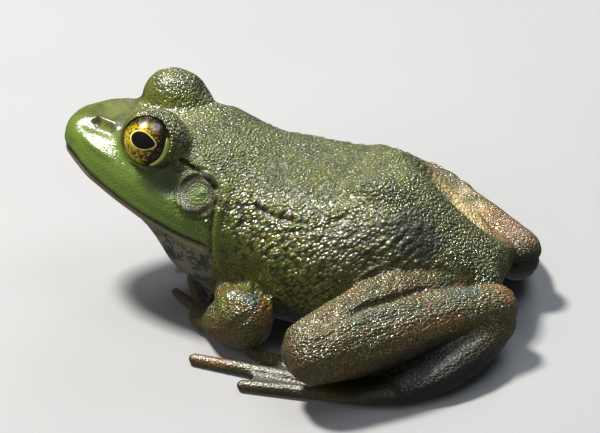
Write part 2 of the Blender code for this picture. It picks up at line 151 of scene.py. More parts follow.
def eased(value: np.ndarray, low: float, high: float) -> np.ndarray:
    """A smooth step that rises from 0 at low to 1 at high, or falls where low is the larger."""
    share = np.clip((value - low) / (high - low), 0, 1)
    return share * share * (3 - 2 * share)


def hill(gap: np.ndarray, width: float) -> np.ndarray:
    """A bell of height 1 that has fallen to 1/e at one width."""
    return np.exp(-((gap / width) ** 2))


def smooth_line(knots: Sequence[Spot], step: float) -> np.ndarray:
    """Points about a step apart on a Catmull-Rom curve through the knots.

    Args:
        knots: Spots that the curve goes through.
        step: The distance between the points.

    Returns:
        An array with one spot in each row.
    """
    spots = np.array(knots, float)
    padded = np.vstack((2 * spots[0] - spots[1], spots, 2 * spots[-1] - spots[-2]))
    points = []
    for before, start, end, after in zip(padded, padded[1:], padded[2:], padded[3:]):
        count = max(2, round(float(np.linalg.norm(end - start)) / step))
        t = np.arange(count)[:, None] / count
        bend = 2 * before - 5 * start + 4 * end - after
        twist = 3 * start - before - 3 * end + after
        points.append((2 * start + (end - before) * t + bend * t**2 + twist * t**3) / 2)
    points.append(spots[-1:])
    return np.vstack(points)


def lattice_noise(points: np.ndarray, seed: int) -> np.ndarray:
    """Soft noise from 0 to 1 whose lumps are about one unit across.

    Args:
        points: Places, one in each row, already divided by the size of a lump.
        seed: Picks the pattern.

    Returns:
        One number for each place.
    """
    cell = np.floor(points).astype(np.int64)
    share = points - cell
    share = share * share * (3 - 2 * share)
    total = np.zeros(len(points))
    for corner in np.ndindex(2, 2, 2):
        at = cell + corner
        mixed = np.bitwise_xor.reduce(at * NOISE_PRIMES, axis=1) ^ seed * SEED_PRIME
        mixed = (mixed ^ (mixed >> 13)) * SCRAMBLE & 0x7FFFFFFF
        weight = np.prod(np.where(corner, share, 1 - share), axis=1)
        total += weight * ((mixed >> 7) & 0xFFFF) / 0xFFFF
    return total


def put_attribute(mesh: bpy.types.Mesh, name: str, values: np.ndarray) -> None:
    """Stores one number, or one vector, for each point of a mesh.

    Args:
        mesh: The mesh.
        name: The name under which a finish can read what is stored.
        values: The numbers, or the vectors one in each row.
    """
    kind, key = ("FLOAT", "value") if values.ndim == 1 else ("FLOAT_VECTOR", "vector")
    layer = mesh.attributes.new(name, kind, "POINT")
    layer.data.foreach_set(key, values.astype(np.float32).ravel())


def vectors_of(mesh: bpy.types.Mesh, key: str) -> np.ndarray:
    """Reads one vector for each point of a mesh.

    Args:
        mesh: The mesh.
        key: Which vector it is, such as co or normal.

    Returns:
        The vectors, one in each row.
    """
    flat = np.empty(len(mesh.vertices) * 3)
    mesh.vertices.foreach_get(key, flat)
    return flat.reshape(-1, 3)


def points_of(mesh: bpy.types.Mesh) -> np.ndarray:
    """The points of a mesh, in metres, one in each row."""
    return vectors_of(mesh, "co")


def normals_of(mesh: bpy.types.Mesh) -> np.ndarray:
    """The outward directions at the points of a mesh."""
    return vectors_of(mesh, "normal")


def move_points(mesh: bpy.types.Mesh, points: np.ndarray) -> None:
    """Puts the points of a mesh at new places, in metres."""
    mesh.vertices.foreach_set("co", points.ravel())
    mesh.update()


def select_only(*pieces: bpy.types.Object) -> None:
    """Makes these the only selected objects, and the first one active."""
    bpy.ops.object.select_all(action="DESELECT")
    for piece in pieces:
        piece.select_set(True)
    bpy.context.view_layer.objects.active = pieces[0]


def shade_smooth(piece: bpy.types.Object) -> None:
    """Shades every face of a piece smooth."""
    select_only(piece)
    bpy.ops.object.shade_smooth()


def apply_modifier(piece: bpy.types.Object, kind: str, **settings: object) -> None:
    """Adds a modifier to a piece, sets it and applies it.

    Args:
        piece: The object.
        kind: The modifier's type.
        settings: What its settings are set to, by name.
    """
    select_only(piece)
    modifier = piece.modifiers.new(kind.lower(), kind)
    for name, value in settings.items():
        setattr(modifier, name, value)
    bpy.ops.object.modifier_apply(modifier=modifier.name)


def settle(piece: bpy.types.Object, nodes: Sequence[str]) -> None:
    """Lets a finished piece ride on the body and stand for its CAD nodes.

    Args:
        piece: The piece.
        nodes: The nodes that it stands for.
    """
    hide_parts(*nodes)
    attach(piece, BODY)
    faces = len(piece.data.polygons)
    log.info("%s: %d faces, stands for %s", piece.name, faces, ", ".join(nodes))


class Signal:
    """A number on a node tree, on which Python's own signs add the Math nodes."""

    def __init__(self, bench: "Bench", socket: bpy.types.NodeSocket) -> None:
        """Keeps the socket that the number comes from."""
        self.bench = bench
        self.socket = socket

    def __add__(self, other: "Signal | float") -> "Signal":
        """The sum."""
        return self.bench.maths("ADD", self, other)

    def __radd__(self, other: float) -> "Signal":
        """The sum, with a plain number first."""
        return self.bench.maths("ADD", other, self)

    def __sub__(self, other: "Signal | float") -> "Signal":
        """The difference."""
        return self.bench.maths("SUBTRACT", self, other)

    def __rsub__(self, other: float) -> "Signal":
        """The difference, with a plain number first."""
        return self.bench.maths("SUBTRACT", other, self)

    def __mul__(self, other: "Signal | float") -> "Signal":
        """The product."""
        return self.bench.maths("MULTIPLY", self, other)

    def __rmul__(self, other: float) -> "Signal":
        """The product, with a plain number first."""
        return self.bench.maths("MULTIPLY", other, self)

    def __truediv__(self, other: "Signal | float") -> "Signal":
        """The quotient."""
        return self.bench.maths("DIVIDE", self, other)

    def __pow__(self, other: float) -> "Signal":
        """The power."""
        return self.bench.maths("POWER", self, other)

    def lower_of(self, other: "Signal | float") -> "Signal":
        """The smaller of two numbers."""
        return self.bench.maths("MINIMUM", self, other)

    def higher_of(self, other: "Signal | float") -> "Signal":
        """The larger of two numbers."""
        return self.bench.maths("MAXIMUM", self, other)

    def eased(self, low: float, high: float) -> "Signal":
        """A smooth step that rises from 0 at low to 1 at high, or falls where low is the larger.

        Args:
            low: Where the step is 0.
            high: Where the step is 1.

        Returns:
            The step.
        """
        flipped = low > high
        stops = {"From Min": min(low, high), "From Max": max(low, high)}
        ends = {"To Min": float(flipped), "To Max": float(not flipped)}
        settings = {"interpolation_type": "SMOOTHSTEP"}
        inputs = {"Value": self, **stops, **ends}
        return self.bench.node("ShaderNodeMapRange", settings, inputs).out("Result")


class Made:
    """A node that has been added, from which its outputs are taken by name."""

    def __init__(self, bench: "Bench", node: bpy.types.Node) -> None:
        """Keeps the node."""
        self.bench = bench
        self.node = node

    def out(self, name: str | int = 0) -> Signal:
        """The output of that name or number."""
        return Signal(self.bench, self.node.outputs[name])


class Bench:
    """Where one material's nodes are laid out and joined."""

    def __init__(self, name: str) -> None:
        """Starts an empty material.

        Args:
            name: The material's name.
        """
        self.material = bpy.data.materials.new(name)
        self.material.use_nodes = True
        self.tree = self.material.node_tree
        self.tree.nodes.clear()

    def node(self, kind: str, settings: dict | None = None, inputs: dict | None = None) -> Made:
        """Adds a node.

        Args:
            kind: The node's type.
            settings: Its settings, set first.
            inputs: A value or a signal for each named or numbered socket.

        Returns:
            The node, ready for its outputs to be taken.
        """
        node = self.tree.nodes.new(kind)
        for name, value in (settings or {}).items():
            setattr(node, name, value)
        for name, value in (inputs or {}).items():
            if isinstance(value, Signal):
                self.tree.links.new(value.socket, node.inputs[name])
            else:
                node.inputs[name].default_value = value
        return Made(self, node)

    def maths(self, operation: str, first: Signal | float, second: Signal | float) -> Signal:
        """Adds a Math node on two numbers."""
        return self.node("ShaderNodeMath", {"operation": operation}, {0: first, 1: second}).out()

    def mixed(self, share: Signal | float, first: Signal | Colour, second: Signal | Colour) -> Signal:
        """A colour between two others, at a share from 0 to 1."""
        settings = {"data_type": "RGBA", "clamp_factor": True}
        return self.node("ShaderNodeMix", settings, {0: share, 6: first, 7: second}).out(2)

    def blended(self, share: Signal | float, first: Signal | float, second: Signal | float) -> Signal:
        """A number between two others, at a share from 0 to 1."""
        inputs = {0: share, 2: first, 3: second}
        return self.node("ShaderNodeMix", {"data_type": "FLOAT"}, inputs).out(0)

    def attribute(self, name: str, output: str = "Fac") -> Signal:
        """What a mesh stores under a name."""
        return self.node("ShaderNodeAttribute", {"attribute_name": name}).out(output)

    def place(self) -> Signal:
        """Places on the object, in millimetres."""
        local = self.node("ShaderNodeTexCoord").out("Object")
        return self.drawn_out(local, (0.0, 0.0, 0.0), (MM,) * 3)

    def drawn_out(self, at: Signal, angles: Triple, scale: Triple) -> Signal:
        """Places on which a pattern is drawn out, and then turned.

        Args:
            at: The places.
            angles: The turn about each axis, in degrees.
            scale: How many times longer the pattern gets along each axis.

        Returns:
            The places on which to draw the pattern.
        """
        rotation = tuple(math.radians(angle) for angle in angles)
        inputs = {"Vector": at, "Rotation": rotation, "Scale": scale}
        return self.node("ShaderNodeMapping", {"vector_type": "TEXTURE"}, inputs).out()

    def noise(self, at: Signal, size: float, detail: float = 2.0, output: str = "Fac") -> Signal:
        """Soft noise with lumps of about that size."""
        inputs = {"Vector": at, "Scale": 1 / size, "Detail": detail}
        return self.node("ShaderNodeTexNoise", {}, inputs).out(output)

    def warped(self, at: Signal, size: float, amount: float) -> Signal:
        """Places pushed about by noise, so that what is drawn on them is uneven.

        Args:
            at: The places.
            size: About how large the lumps of the noise are.
            amount: How far the pushes along an axis can differ.

        Returns:
            The pushed places.
        """
        push = self.vectors("SUBTRACT", {0: self.noise(at, size, 1.0, "Color"), 1: (0.5,) * 3})
        push = self.vectors("SCALE", {0: push, "Scale": amount})
        return self.vectors("ADD", {0: at, 1: push})

    def vectors(self, operation: str, inputs: dict) -> Signal:
        """Adds a Vector Math node."""
        return self.node("ShaderNodeVectorMath", {"operation": operation}, inputs).out()

    def bumped(self, height: Signal) -> Signal:
        """The surface's direction, once a height in millimetres is worked into it."""
        inputs = {"Height": height, "Strength": 1.0, "Distance": MM}
        return self.node("ShaderNodeBump", {}, inputs).out()

    def beads(self, at: Signal, size: float) -> Signal:
        """Rounded beads.

        Args:
            at: The places on which they are laid.
            size: About how large they are.

        Returns:
            Their height, from 0 between them to 1 on top.
        """
        inputs = {"Vector": at, "Scale": 1 / size, "Randomness": 0.85}
        gap = self.node("ShaderNodeTexVoronoi", {"feature": "F1"}, inputs).out("Distance")
        return (1 - gap * gap * 2.0).higher_of(0.0)

    def finished(self, shader: dict) -> bpy.types.Material:
        """Joins a Principled shader to the output.

        Args:
            shader: A value or a signal for each named socket of the shader.

        Returns:
            The finished material.
        """
        surface = self.node("ShaderNodeBsdfPrincipled", {}, shader).out("BSDF")
        self.node("ShaderNodeOutputMaterial", {}, {"Surface": surface})
        return self.material


def paint(red: int, green: int, blue: int) -> Colour:
    """A colour as shaders take it, from the levels that a screen shows, each up to 255."""
    return (*(((level / 255 + 0.055) / 1.055) ** 2.4 for level in (red, green, blue)), 1.0)


class SkinMaps:
    """What the skin's colour and relief are drawn from: noise of three sizes, and what the mesh stores."""

    def __init__(self, bench: Bench) -> None:
        """Adds the nodes that several parts of the finish read.

        Args:
            bench: Where the nodes are laid out.
        """
        self.at = bench.place()
        self.folded = bench.attribute("folded", "Vector")
        self.patches = bench.noise(self.at, 6.0, 3.0)
        self.specks = bench.noise(self.at, 1.1, 3.0)
        self.fine = bench.noise(self.at, 0.3, 2.0)
        self.grain = bench.attribute("grain")
        self.rows = bench.attribute("rows")
        self.limb = bench.attribute("limb")
        self.pale = bench.attribute("pale")
        self.stains = {tint: bench.attribute(tint.value) for tint in Tint}
        self.drum = bench.attribute("drum")
        self.in_drum = self.drum.eased(7.2, DRUM_RING)


@dataclass(frozen=True)
class SkinFinish:
    """Wet frog skin: olive ground, green face, stains by region, painted shade in creases, hollows and
    shaded parts, and beads whose tops catch the light, with painted light on their tops and painted shade
    between them.
    """

    olive: Colour = paint(86, 90, 35)
    moss: Colour = paint(60, 66, 23)
    bark: Colour = paint(92, 68, 27)
    slick: Colour = paint(70, 75, 32)
    # Painted light: lighter colours for the tops of the lumps, on the back and in the rows.
    lit_bead_top: Colour = paint(106, 108, 54)
    lit_row_top: Colour = paint(104, 103, 40)
    belly: Colour = paint(104, 100, 84)
    belly_mark: Colour = paint(44, 42, 34)
    # Painted shade between the lumps.
    gap: Colour = paint(18, 18, 8)
    rust: Colour = paint(108, 66, 26)
    # Colour of the painted shade, which also darkens the digits and the stain by the nostril.
    shade_and_dark_skin: Colour = paint(20, 19, 7)
    tints: tuple[tuple[Tint, Colour], ...] = (
        (Tint.LEAF, paint(90, 112, 38)),
        (Tint.LIME, paint(90, 102, 24)),
        (Tint.TAN, paint(124, 110, 80)),
        (Tint.BRONZE, paint(62, 66, 22)),
        (Tint.RUST, paint(120, 82, 26)),
        (Tint.SLATE, paint(60, 74, 64)),
        (Tint.CREAM_AND_HIGHLIGHT, paint(196, 170, 114)),
    )
    bead_size: float = 0.92
    row_size: float = 1.2
    drum_size: float = 0.5
    leg_size: float = 0.75
    pebble_size: float = 0.5
    row_stretch: float = 1.45
    flank_slant: float = 38.0
    leg_stretch: float = 1.6
    leg_slant: float = 130.0
    ripples: float = 6.0

    def material(self) -> bpy.types.Material:
        """Lays out the skin's nodes.

        Returns:
            The wet skin.
        """
        bench = Bench("wet_skin")
        maps = SkinMaps(bench)
        lumps = self.lumps(bench, maps)
        gaps = lumps.eased(0.45, 0.0) * maps.grain
        smooth = (1 - maps.grain) * (1 - maps.limb)
        dull = gaps * 0.2 + maps.stains[Tint.SHADE_AND_DARK_SKIN] * 0.3 + maps.in_drum * 0.14 + smooth * 0.05
        rough = 0.235 - maps.grain * 0.015 - maps.limb * 0.01 + (maps.specks - 0.5) * 0.16 + dull
        return bench.finished(
            {
                "Base Color": self.colour(bench, maps, lumps, gaps),
                "Roughness": rough,
                "IOR": 1.62,
                "Specular IOR Level": 0.74,
                "Normal": bench.bumped(self.height(bench, maps, lumps)),
            }
        )

    def lumps(self, bench: Bench, maps: SkinMaps) -> Signal:
        """Lays beads on the back, rows on the flanks, wrinkles on the limbs and grains in the ears.

        Args:
            bench: Where the nodes are laid out.
            maps: Where each kind of lump lies.

        Returns:
            The lumps, from 0 between them to about 1 on top.
        """
        beads = bench.beads(bench.warped(maps.at, 1.4, 0.8), self.bead_size)
        slanted = bench.drawn_out(maps.at, (self.flank_slant, 0.0, 0.0), (1.0, self.row_stretch, 1.0))
        long_beads = bench.beads(bench.warped(slanted, 1.6, 0.8), self.row_size)
        level = bench.drawn_out(maps.folded, (0.0, 0.0, self.leg_slant), (self.leg_stretch, 1.0, 1.0))
        wrinkles = bench.beads(bench.warped(level, 1.6, 1.0), self.leg_size)
        lumps = bench.blended(maps.rows, beads, long_beads)
        lumps = bench.blended(maps.limb, lumps, wrinkles)
        lumps = bench.blended(maps.in_drum, lumps, bench.beads(maps.at, self.drum_size))
        return lumps * (0.55 + bench.noise(maps.at, 1.9, 1.0) * 0.9)

    def colour(self, bench: Bench, maps: SkinMaps, lumps: Signal, gaps: Signal) -> Signal:
        """Lays the stains, the painted shade and the painted highlights over the ground, paints light on
        the tops of the lumps and paints shade into the gaps.

        Args:
            bench: Where the nodes are laid out.
            maps: Where each colour lies.
            lumps: The lumps, from 0 to 1.
            gaps: The gaps between the lumps, from 0 to 1.

        Returns:
            The colour of the skin.
        """
        patches, specks, rows, limb = maps.patches, maps.specks, maps.rows, maps.limb
        ground = bench.mixed(patches.eased(0.35, 0.65), self.moss, self.olive)
        wood = bench.mixed((patches + specks).eased(0.85, 1.15), self.slick, self.bark)
        ground = bench.mixed(limb, ground, wood)
        rusty = bench.noise(maps.at, 2.6, 2.0).eased(0.56, 0.68)
        ground = bench.mixed(rusty * (rows * 0.65 + limb * 0.4), ground, self.rust)
        uneven = (patches - 0.5) * 1.1 + (specks - 0.5) * 1.2
        for tint, colour in self.tints:
            amount = maps.stains[tint]
            sway = uneven * (0.6 if tint is Tint.LEAF else 4.0)
            edge = (amount + sway * (1 - amount) * amount).eased(0.12, 0.88)
            ground = bench.mixed(edge, ground, colour)
        marks = (patches + (specks - 0.5) * 0.6).eased(0.45, 0.62)
        under = bench.mixed(marks, self.belly, self.belly_mark)
        ground = bench.mixed(maps.pale, ground, under)
        # Painted light on the tops of the lumps.
        top = bench.mixed(rows, self.lit_bead_top, self.lit_row_top)
        ground = bench.mixed(lumps.eased(0.4, 1.0) * maps.grain * (0.35 + rows * 0.4), ground, top)
        # Painted shade in the gaps between the lumps.
        ground = bench.mixed(gaps * (0.35 + rows * 0.35), ground, self.gap)
        # Painted shade laid last, over grooves, creases, hollows, undersides and the digits.
        return bench.mixed(maps.stains[Tint.SHADE_AND_DARK_SKIN], ground, self.shade_and_dark_skin)

    def height(self, bench: Bench, maps: SkinMaps, lumps: Signal) -> Signal:
        """Adds up the lumps, the fine grain, the ripples of the ear drums and the face's small pebbles.

        Args:
            bench: Where the nodes are laid out.
            maps: Where each kind of relief lies.
            lumps: The lumps, from 0 to 1.

        Returns:
            The height of the relief, in millimetres.
        """
        drum, in_drum, rows, limb = maps.drum, maps.in_drum, maps.rows, maps.limb
        circles = bench.maths("COSINE", drum * self.ripples, 0.0) * drum.eased(5.4, 4.0) * 0.03
        relief = maps.grain * (1 - maps.stains[Tint.SHADE_AND_DARK_SKIN] * 0.6)
        height = lumps * relief * (0.5 - rows * 0.03 - in_drum * 0.34 - limb * 0.04)
        height = height + maps.fine * (0.022 + relief * 0.076)
        height = height + maps.specks * (0.045 + relief * 0.035) + circles
        pebbles = bench.beads(bench.warped(maps.at, 0.9, 0.5), self.pebble_size) * (1 - maps.grain)
        return height + pebbles * (0.012 + maps.stains[Tint.LEAF] * 0.07)


@dataclass(frozen=True)
class IrisFinish:
    """A golden iris netted with black, round a level pupil with a bright rim, under a clear wet front."""

    gold: Colour = paint(180, 156, 20)
    amber: Colour = paint(132, 88, 12)
    black: Colour = paint(8, 7, 5)
    rim: Colour = paint(240, 214, 120)
    pupil_length: float = 3.75
    pupil_height: float = 2.45
    pupil_tilt: float = 12.0
    pupil_shift: Triple = (0.45, -1.1, 0.0)
    reach: float = 7.0
    spokes: float = 4.0

    def material(self) -> bpy.types.Material:
        """Lays out the eye's nodes, on distances from the middle of the gaze, which the eye stores.

        Returns:
            The iris with its pupil.
        """
        bench = Bench("iris")
        gaze = bench.attribute("gaze", "Vector")
        tilt = (0.0, 0.0, -math.radians(self.pupil_tilt))
        inputs = {"Vector": gaze, "Rotation": tilt, "Location": self.pupil_shift}
        local = bench.node("ShaderNodeMapping", {"vector_type": "POINT"}, inputs).out()
        parts = bench.node("ShaderNodeSeparateXYZ", {}, {0: local})
        ahead = parts.out("X") / self.pupil_length
        above = parts.out("Y") / self.pupil_height / (1 + ahead * 0.16)
        wide = bench.maths("ABSOLUTE", ahead, 0.0) ** 1.75 + bench.maths("ABSOLUTE", above, 0.0) ** 1.9
        far = wide**0.55

        whole = bench.node("ShaderNodeSeparateXYZ", {}, {0: gaze})
        x, y = whole.out("X"), whole.out("Y")
        out = (x * x + y * y) ** 0.5
        around = {0: x / out * self.spokes, 1: y / out * self.spokes, 2: out * 0.5}
        streaks = bench.noise(bench.node("ShaderNodeCombineXYZ", {}, around).out(), 0.55, 4.0)
        net = bench.noise(bench.warped(gaze, 1.0, 0.9), 0.85, 3.0)
        low = (y * -0.35 - x * 0.85).eased(-1.0, 6.5)
        thread = (net * 0.7 + streaks * 0.3 + low * 0.1).eased(0.49, 0.55)
        iris = bench.mixed((streaks + low * 0.3).eased(0.42, 0.85), self.gold, self.amber)
        iris = bench.mixed(thread * (0.82 + low * 0.15), iris, self.black)
        shade = (out / self.reach).eased(0.66, 0.96) * (low * 1.3 + y.eased(1.5, 5.5)).lower_of(1.0)
        iris = bench.mixed(shade * 0.9, iris, self.black)
        iris = bench.mixed(far.eased(1.16, 1.09), iris, self.rim)
        iris = bench.mixed(far.eased(1.06, 1.0), iris, self.black)
        return bench.finished(
            {
                "Base Color": iris,
                "Roughness": 0.25,
                "Coat Weight": 1.0,
                "Coat Roughness": 0.02,
                "Coat IOR": 1.5,
            }
        )


@dataclass(frozen=True)
class LidFinish:
    """The thin wet margin of the lids: near black, with a pale yellow-green crescent behind and below."""

    dark: Colour = paint(30, 34, 12)
    pale: Colour = paint(182, 190, 98)

    def material(self) -> bpy.types.Material:
        """Lays out the margin's nodes.

        Returns:
            The margin's finish.
        """
        bench = Bench("lid_margin")
        specks = bench.noise(bench.place(), 0.5, 3.0)
        crescent = bench.attribute("crescent")
        colour = bench.mixed((crescent + (specks - 0.5) * 0.2).eased(0.3, 0.6), self.dark, self.pale)
        rough = 0.2 + specks * 0.15
        bump = bench.bumped(specks * 0.05)
        return bench.finished({"Base Color": colour, "Roughness": rough, "Normal": bump})


@dataclass(frozen=True)
class FloorFinish:
    """A plain pale studio floor with a faint unevenness."""

    pale: Colour = paint(148, 148, 150)
    shade: Colour = paint(141, 141, 144)

    def material(self) -> bpy.types.Material:
        """Lays out the floor's nodes.

        Returns:
            The floor's finish.
        """
        bench = Bench("studio_floor")
        cloud = bench.noise(bench.place(), 90.0, 2.0)
        colour = bench.mixed(cloud, self.pale, self.shade)
        return bench.finished({"Base Color": colour, "Roughness": 0.65})


@dataclass(frozen=True)
class Fold:
    """A welt or a groove that runs over the skin through a few spots."""

    name: str
    spots: tuple[Spot, ...]
    width: float
    lift: float
    # The tint painted along the line: a stain on some folds, painted shade in the grooves and creases, and
    # a painted highlight along the near canthus.
    tint: Tint | None = None
    stain: float = 0.0
    stain_width: float = 0.6
    sides: tuple[Side, ...] = BOTH
    fade: float = 0.15
    beads: int = 0
    smooth: float = 0.0


@dataclass(frozen=True)
class Patch:
    """A tint with soft edges, an ellipsoid about a spot: mostly a stain, in places painted shade and partly
    painted highlight.
    """

    tint: Tint
    centre: Spot
    half: Triple
    strength: float
    sides: tuple[Side, ...] = BOTH


@dataclass(frozen=True)
class Mound:
    """A round swelling of the skin, or a hollow where its lift is below nothing."""

    name: str
    centre: Spot
    radius: float
    lift: float
    sides: tuple[Side, ...] = BOTH


@dataclass(frozen=True)
class Nudge:
    """A soft push that moves the skin round a spot by a small step."""

    name: str
    centre: Spot
    reach: float
    step: Triple
    sides: tuple[Side, ...] = BOTH


# Where the lips meet, and the upper edge of the green face: (along, height).
LIPS = ((-4, 45.4), (3, 45.2), (10, 43.5), (16, 41.1), (22, 38.7), (31, 35.6), (41, 32.4), (52.1, 29.4))
CHEEK = (
    (0, 62), (12, 60), (18, 58), (23, 54), (26, 50.5), (31, 48.6),
    (37, 49), (40, 49.5), (43, 46), (46, 38.6), (49.5, 37.2), (53, 34.5),
)

CANTHUS = ((3, 9.9, 55), (4.4, 11.7, 55.3), (5.8, 14.4, 55.3), (7, 17.2, 55.1), (8.8, 20, 55))

FOLDS = (
    Fold(
        "ear_fold",
        ((17, 44.4, 52.6), (17.4, 47.3, 50.9), (18, 50.2, 49.4), (18.9, 52.6, 48.4), (20.2, 55, 47),
         (22, 56.3, 45.4), (23.8, 56, 43), (25.2, 55.4, 40.2), (26.8, 55.2, 37), (27.8, 55, 33.6),
         (28.2, 55.4, 29.8), (28, 55.4, 25.2)),
        1.5, 0.8, Tint.LIME, 0.5, 1.9, smooth=0.75,
    ),
    # Painted shade fills the groove from the eye back to the ear drum.
    Fold(
        "ear_groove",
        ((17.7, 40.8, 52), (17.5, 42.2, 51.2), (17.8, 44.9, 49.9), (18.5, 46.4, 49.3),
         (19.5, 47.9, 49.1), (20.4, 49.6, 48.6), (20.8, 51.4, 47.6), (21.1, 52.8, 46.4),
         (21.4, 53.6, 44.8)),
        0.52, -1.6, Tint.SHADE_AND_DARK_SKIN, 1, 0.65, fade=0.06,
    ),
    # Painted shade in the neck crease.
    Fold(
        "neck_crease",
        ((22.2, 54.2, 43.8), (24.2, 53.9, 41.3), (26, 53.6, 38.9), (27, 53.5, 36.7), (27.8, 53.4, 33),
         (28, 53.4, 29), (27.7, 53.4, 25)),
        0.5, -0.9, Tint.SHADE_AND_DARK_SKIN, 0.9, 0.42,
    ),
    # The pale tint along the near canthus is a painted highlight on the ridge.
    Fold("canthus", CANTHUS, 1, 0.75, Tint.CREAM_AND_HIGHLIGHT, 0.3, 0.5, sides=LEFT_ONLY, fade=0.3),
    Fold("far_canthus", CANTHUS, 1.4, 0.3, sides=RIGHT_ONLY, fade=0.3),
    Fold(
        "snout_hollow",
        ((4.2, 6, 53.6), (6.1, 7.6, 53.7), (7.8, 10, 53.6), (8.8, 12.6, 53.4), (9.6, 14.9, 53.2),
         (11.2, 17.9, 53.3), (13.2, 20.8, 53.4)),
        2, -1.2, fade=0.3,
    ),
    # Painted shade in the nostril.
    Fold(
        "nostril",
        ((4.4, 9.9, 54.5), (5.4, 10.8, 54.4), (6.4, 11.7, 54.3), (7.4, 12.5, 54.1)),
        0.75, -1.9, Tint.SHADE_AND_DARK_SKIN, 1, 0.8, fade=0.1,
    ),
    Fold(
        "back_band",
        ((5.5, 46, 55), (6.5, 52, 53), (7, 58, 51.6), (7.5, 66, 50)),
        1.8, 0.3, Tint.LIME, 0.45, 1.5, fade=0.3,
    ),
    # Painted shade in the groove below the lid.
    Fold(
        "lower_lid_groove",
        ((18.9, 25, 49.6), (19.6, 28.2, 48.6), (20.4, 31.4, 48), (20.4, 34.6, 48.6), (19.4, 38, 50.2),
         (18, 41, 51.6)),
        0.5, -0.45, Tint.SHADE_AND_DARK_SKIN, 0.7, 0.5,
    ),
    Fold(
        "lip_ridge",
        ((9.6, 6, 51), (11.8, 9.6, 50.8), (14.8, 14, 50.2), (16.8, 18, 49.5), (19, 22.6, 48.5)),
        1.3, 0.75, fade=0.4,
    ),
    Fold(
        "cheek_ridge",
        ((20.6, 27.6, 47.4), (22.9, 32.8, 45.6), (24.4, 35.2, 44), (25.4, 38.6, 42.2),
         (26.4, 42.6, 41.8), (26.4, 46.6, 40), (26.4, 49.6, 38.2), (27, 52.3, 36.4)),
        1.6, 0.4,
    ),
    Fold(
        "flank_fold",
        ((22.1, 61, 44.6), (22.4, 64, 44), (22.9, 67.3, 43.4), (23.9, 72.2, 42.6), (24.4, 77.6, 41.8),
         (24, 82.1, 41.8), (22, 88.5, 42.9), (18, 96, 45.6), (15, 101, 47.2)),
        1.15, 0.75, beads=15, sides=LEFT_ONLY,
    ),
    Fold(
        "far_flank_fold",
        ((22.1, 61, 44.6), (22.9, 67.3, 43.4), (24.4, 77.6, 41.8), (22, 88.5, 42.9), (15, 101, 47.2)),
        1.4, 0.35, sides=RIGHT_ONLY,
    ),
    # Painted shade in the flank groove.
    Fold(
        "flank_groove",
        ((22.4, 65, 42), (23.9, 69.4, 41.2), (24.6, 73.8, 40.3), (25, 78.6, 39.8), (24.9, 83, 40)),
        0.9, -0.4, Tint.SHADE_AND_DARK_SKIN, 0.3, 0.7,
    ),
    # Painted shade in the lower flank groove.
    Fold(
        "flank_groove_low",
        ((27, 74.6, 37.4), (26.8, 80.4, 37.8), (25.4, 86, 39.4), (23.2, 90.4, 41.4), (19.8, 95.6, 43.4)),
        0.9, -0.35, Tint.SHADE_AND_DARK_SKIN, 0.2, 0.7,
    ),
    Fold("elbow_top", ((33, 60, 21.5), (36, 61.6, 20.5), (39, 63.4, 19)), 3.4, 0, smooth=0.8, fade=0),
    # Painted shade in the knee crease.
    Fold(
        "knee_crease",
        ((60.6, 97.6, 25.6), (54.2, 101.1, 26.9), (46.7, 104.3, 27), (39.9, 110.5, 26.9),
         (33.2, 116.6, 26.6), (26.6, 121.7, 25.7), (22.7, 124.5, 25)),
        0.85, -1.2, Tint.SHADE_AND_DARK_SKIN, 0.5, 0.6, fade=0.35,
    ),
    Fold(
        "shank_band",
        ((58.8, 100.2, 25.6), (53.4, 104.4, 26.4), (47.8, 109, 26.8), (42.2, 114, 26.6),
         (35.6, 120.4, 25.6)),
        2, 0.8,
    ),
)

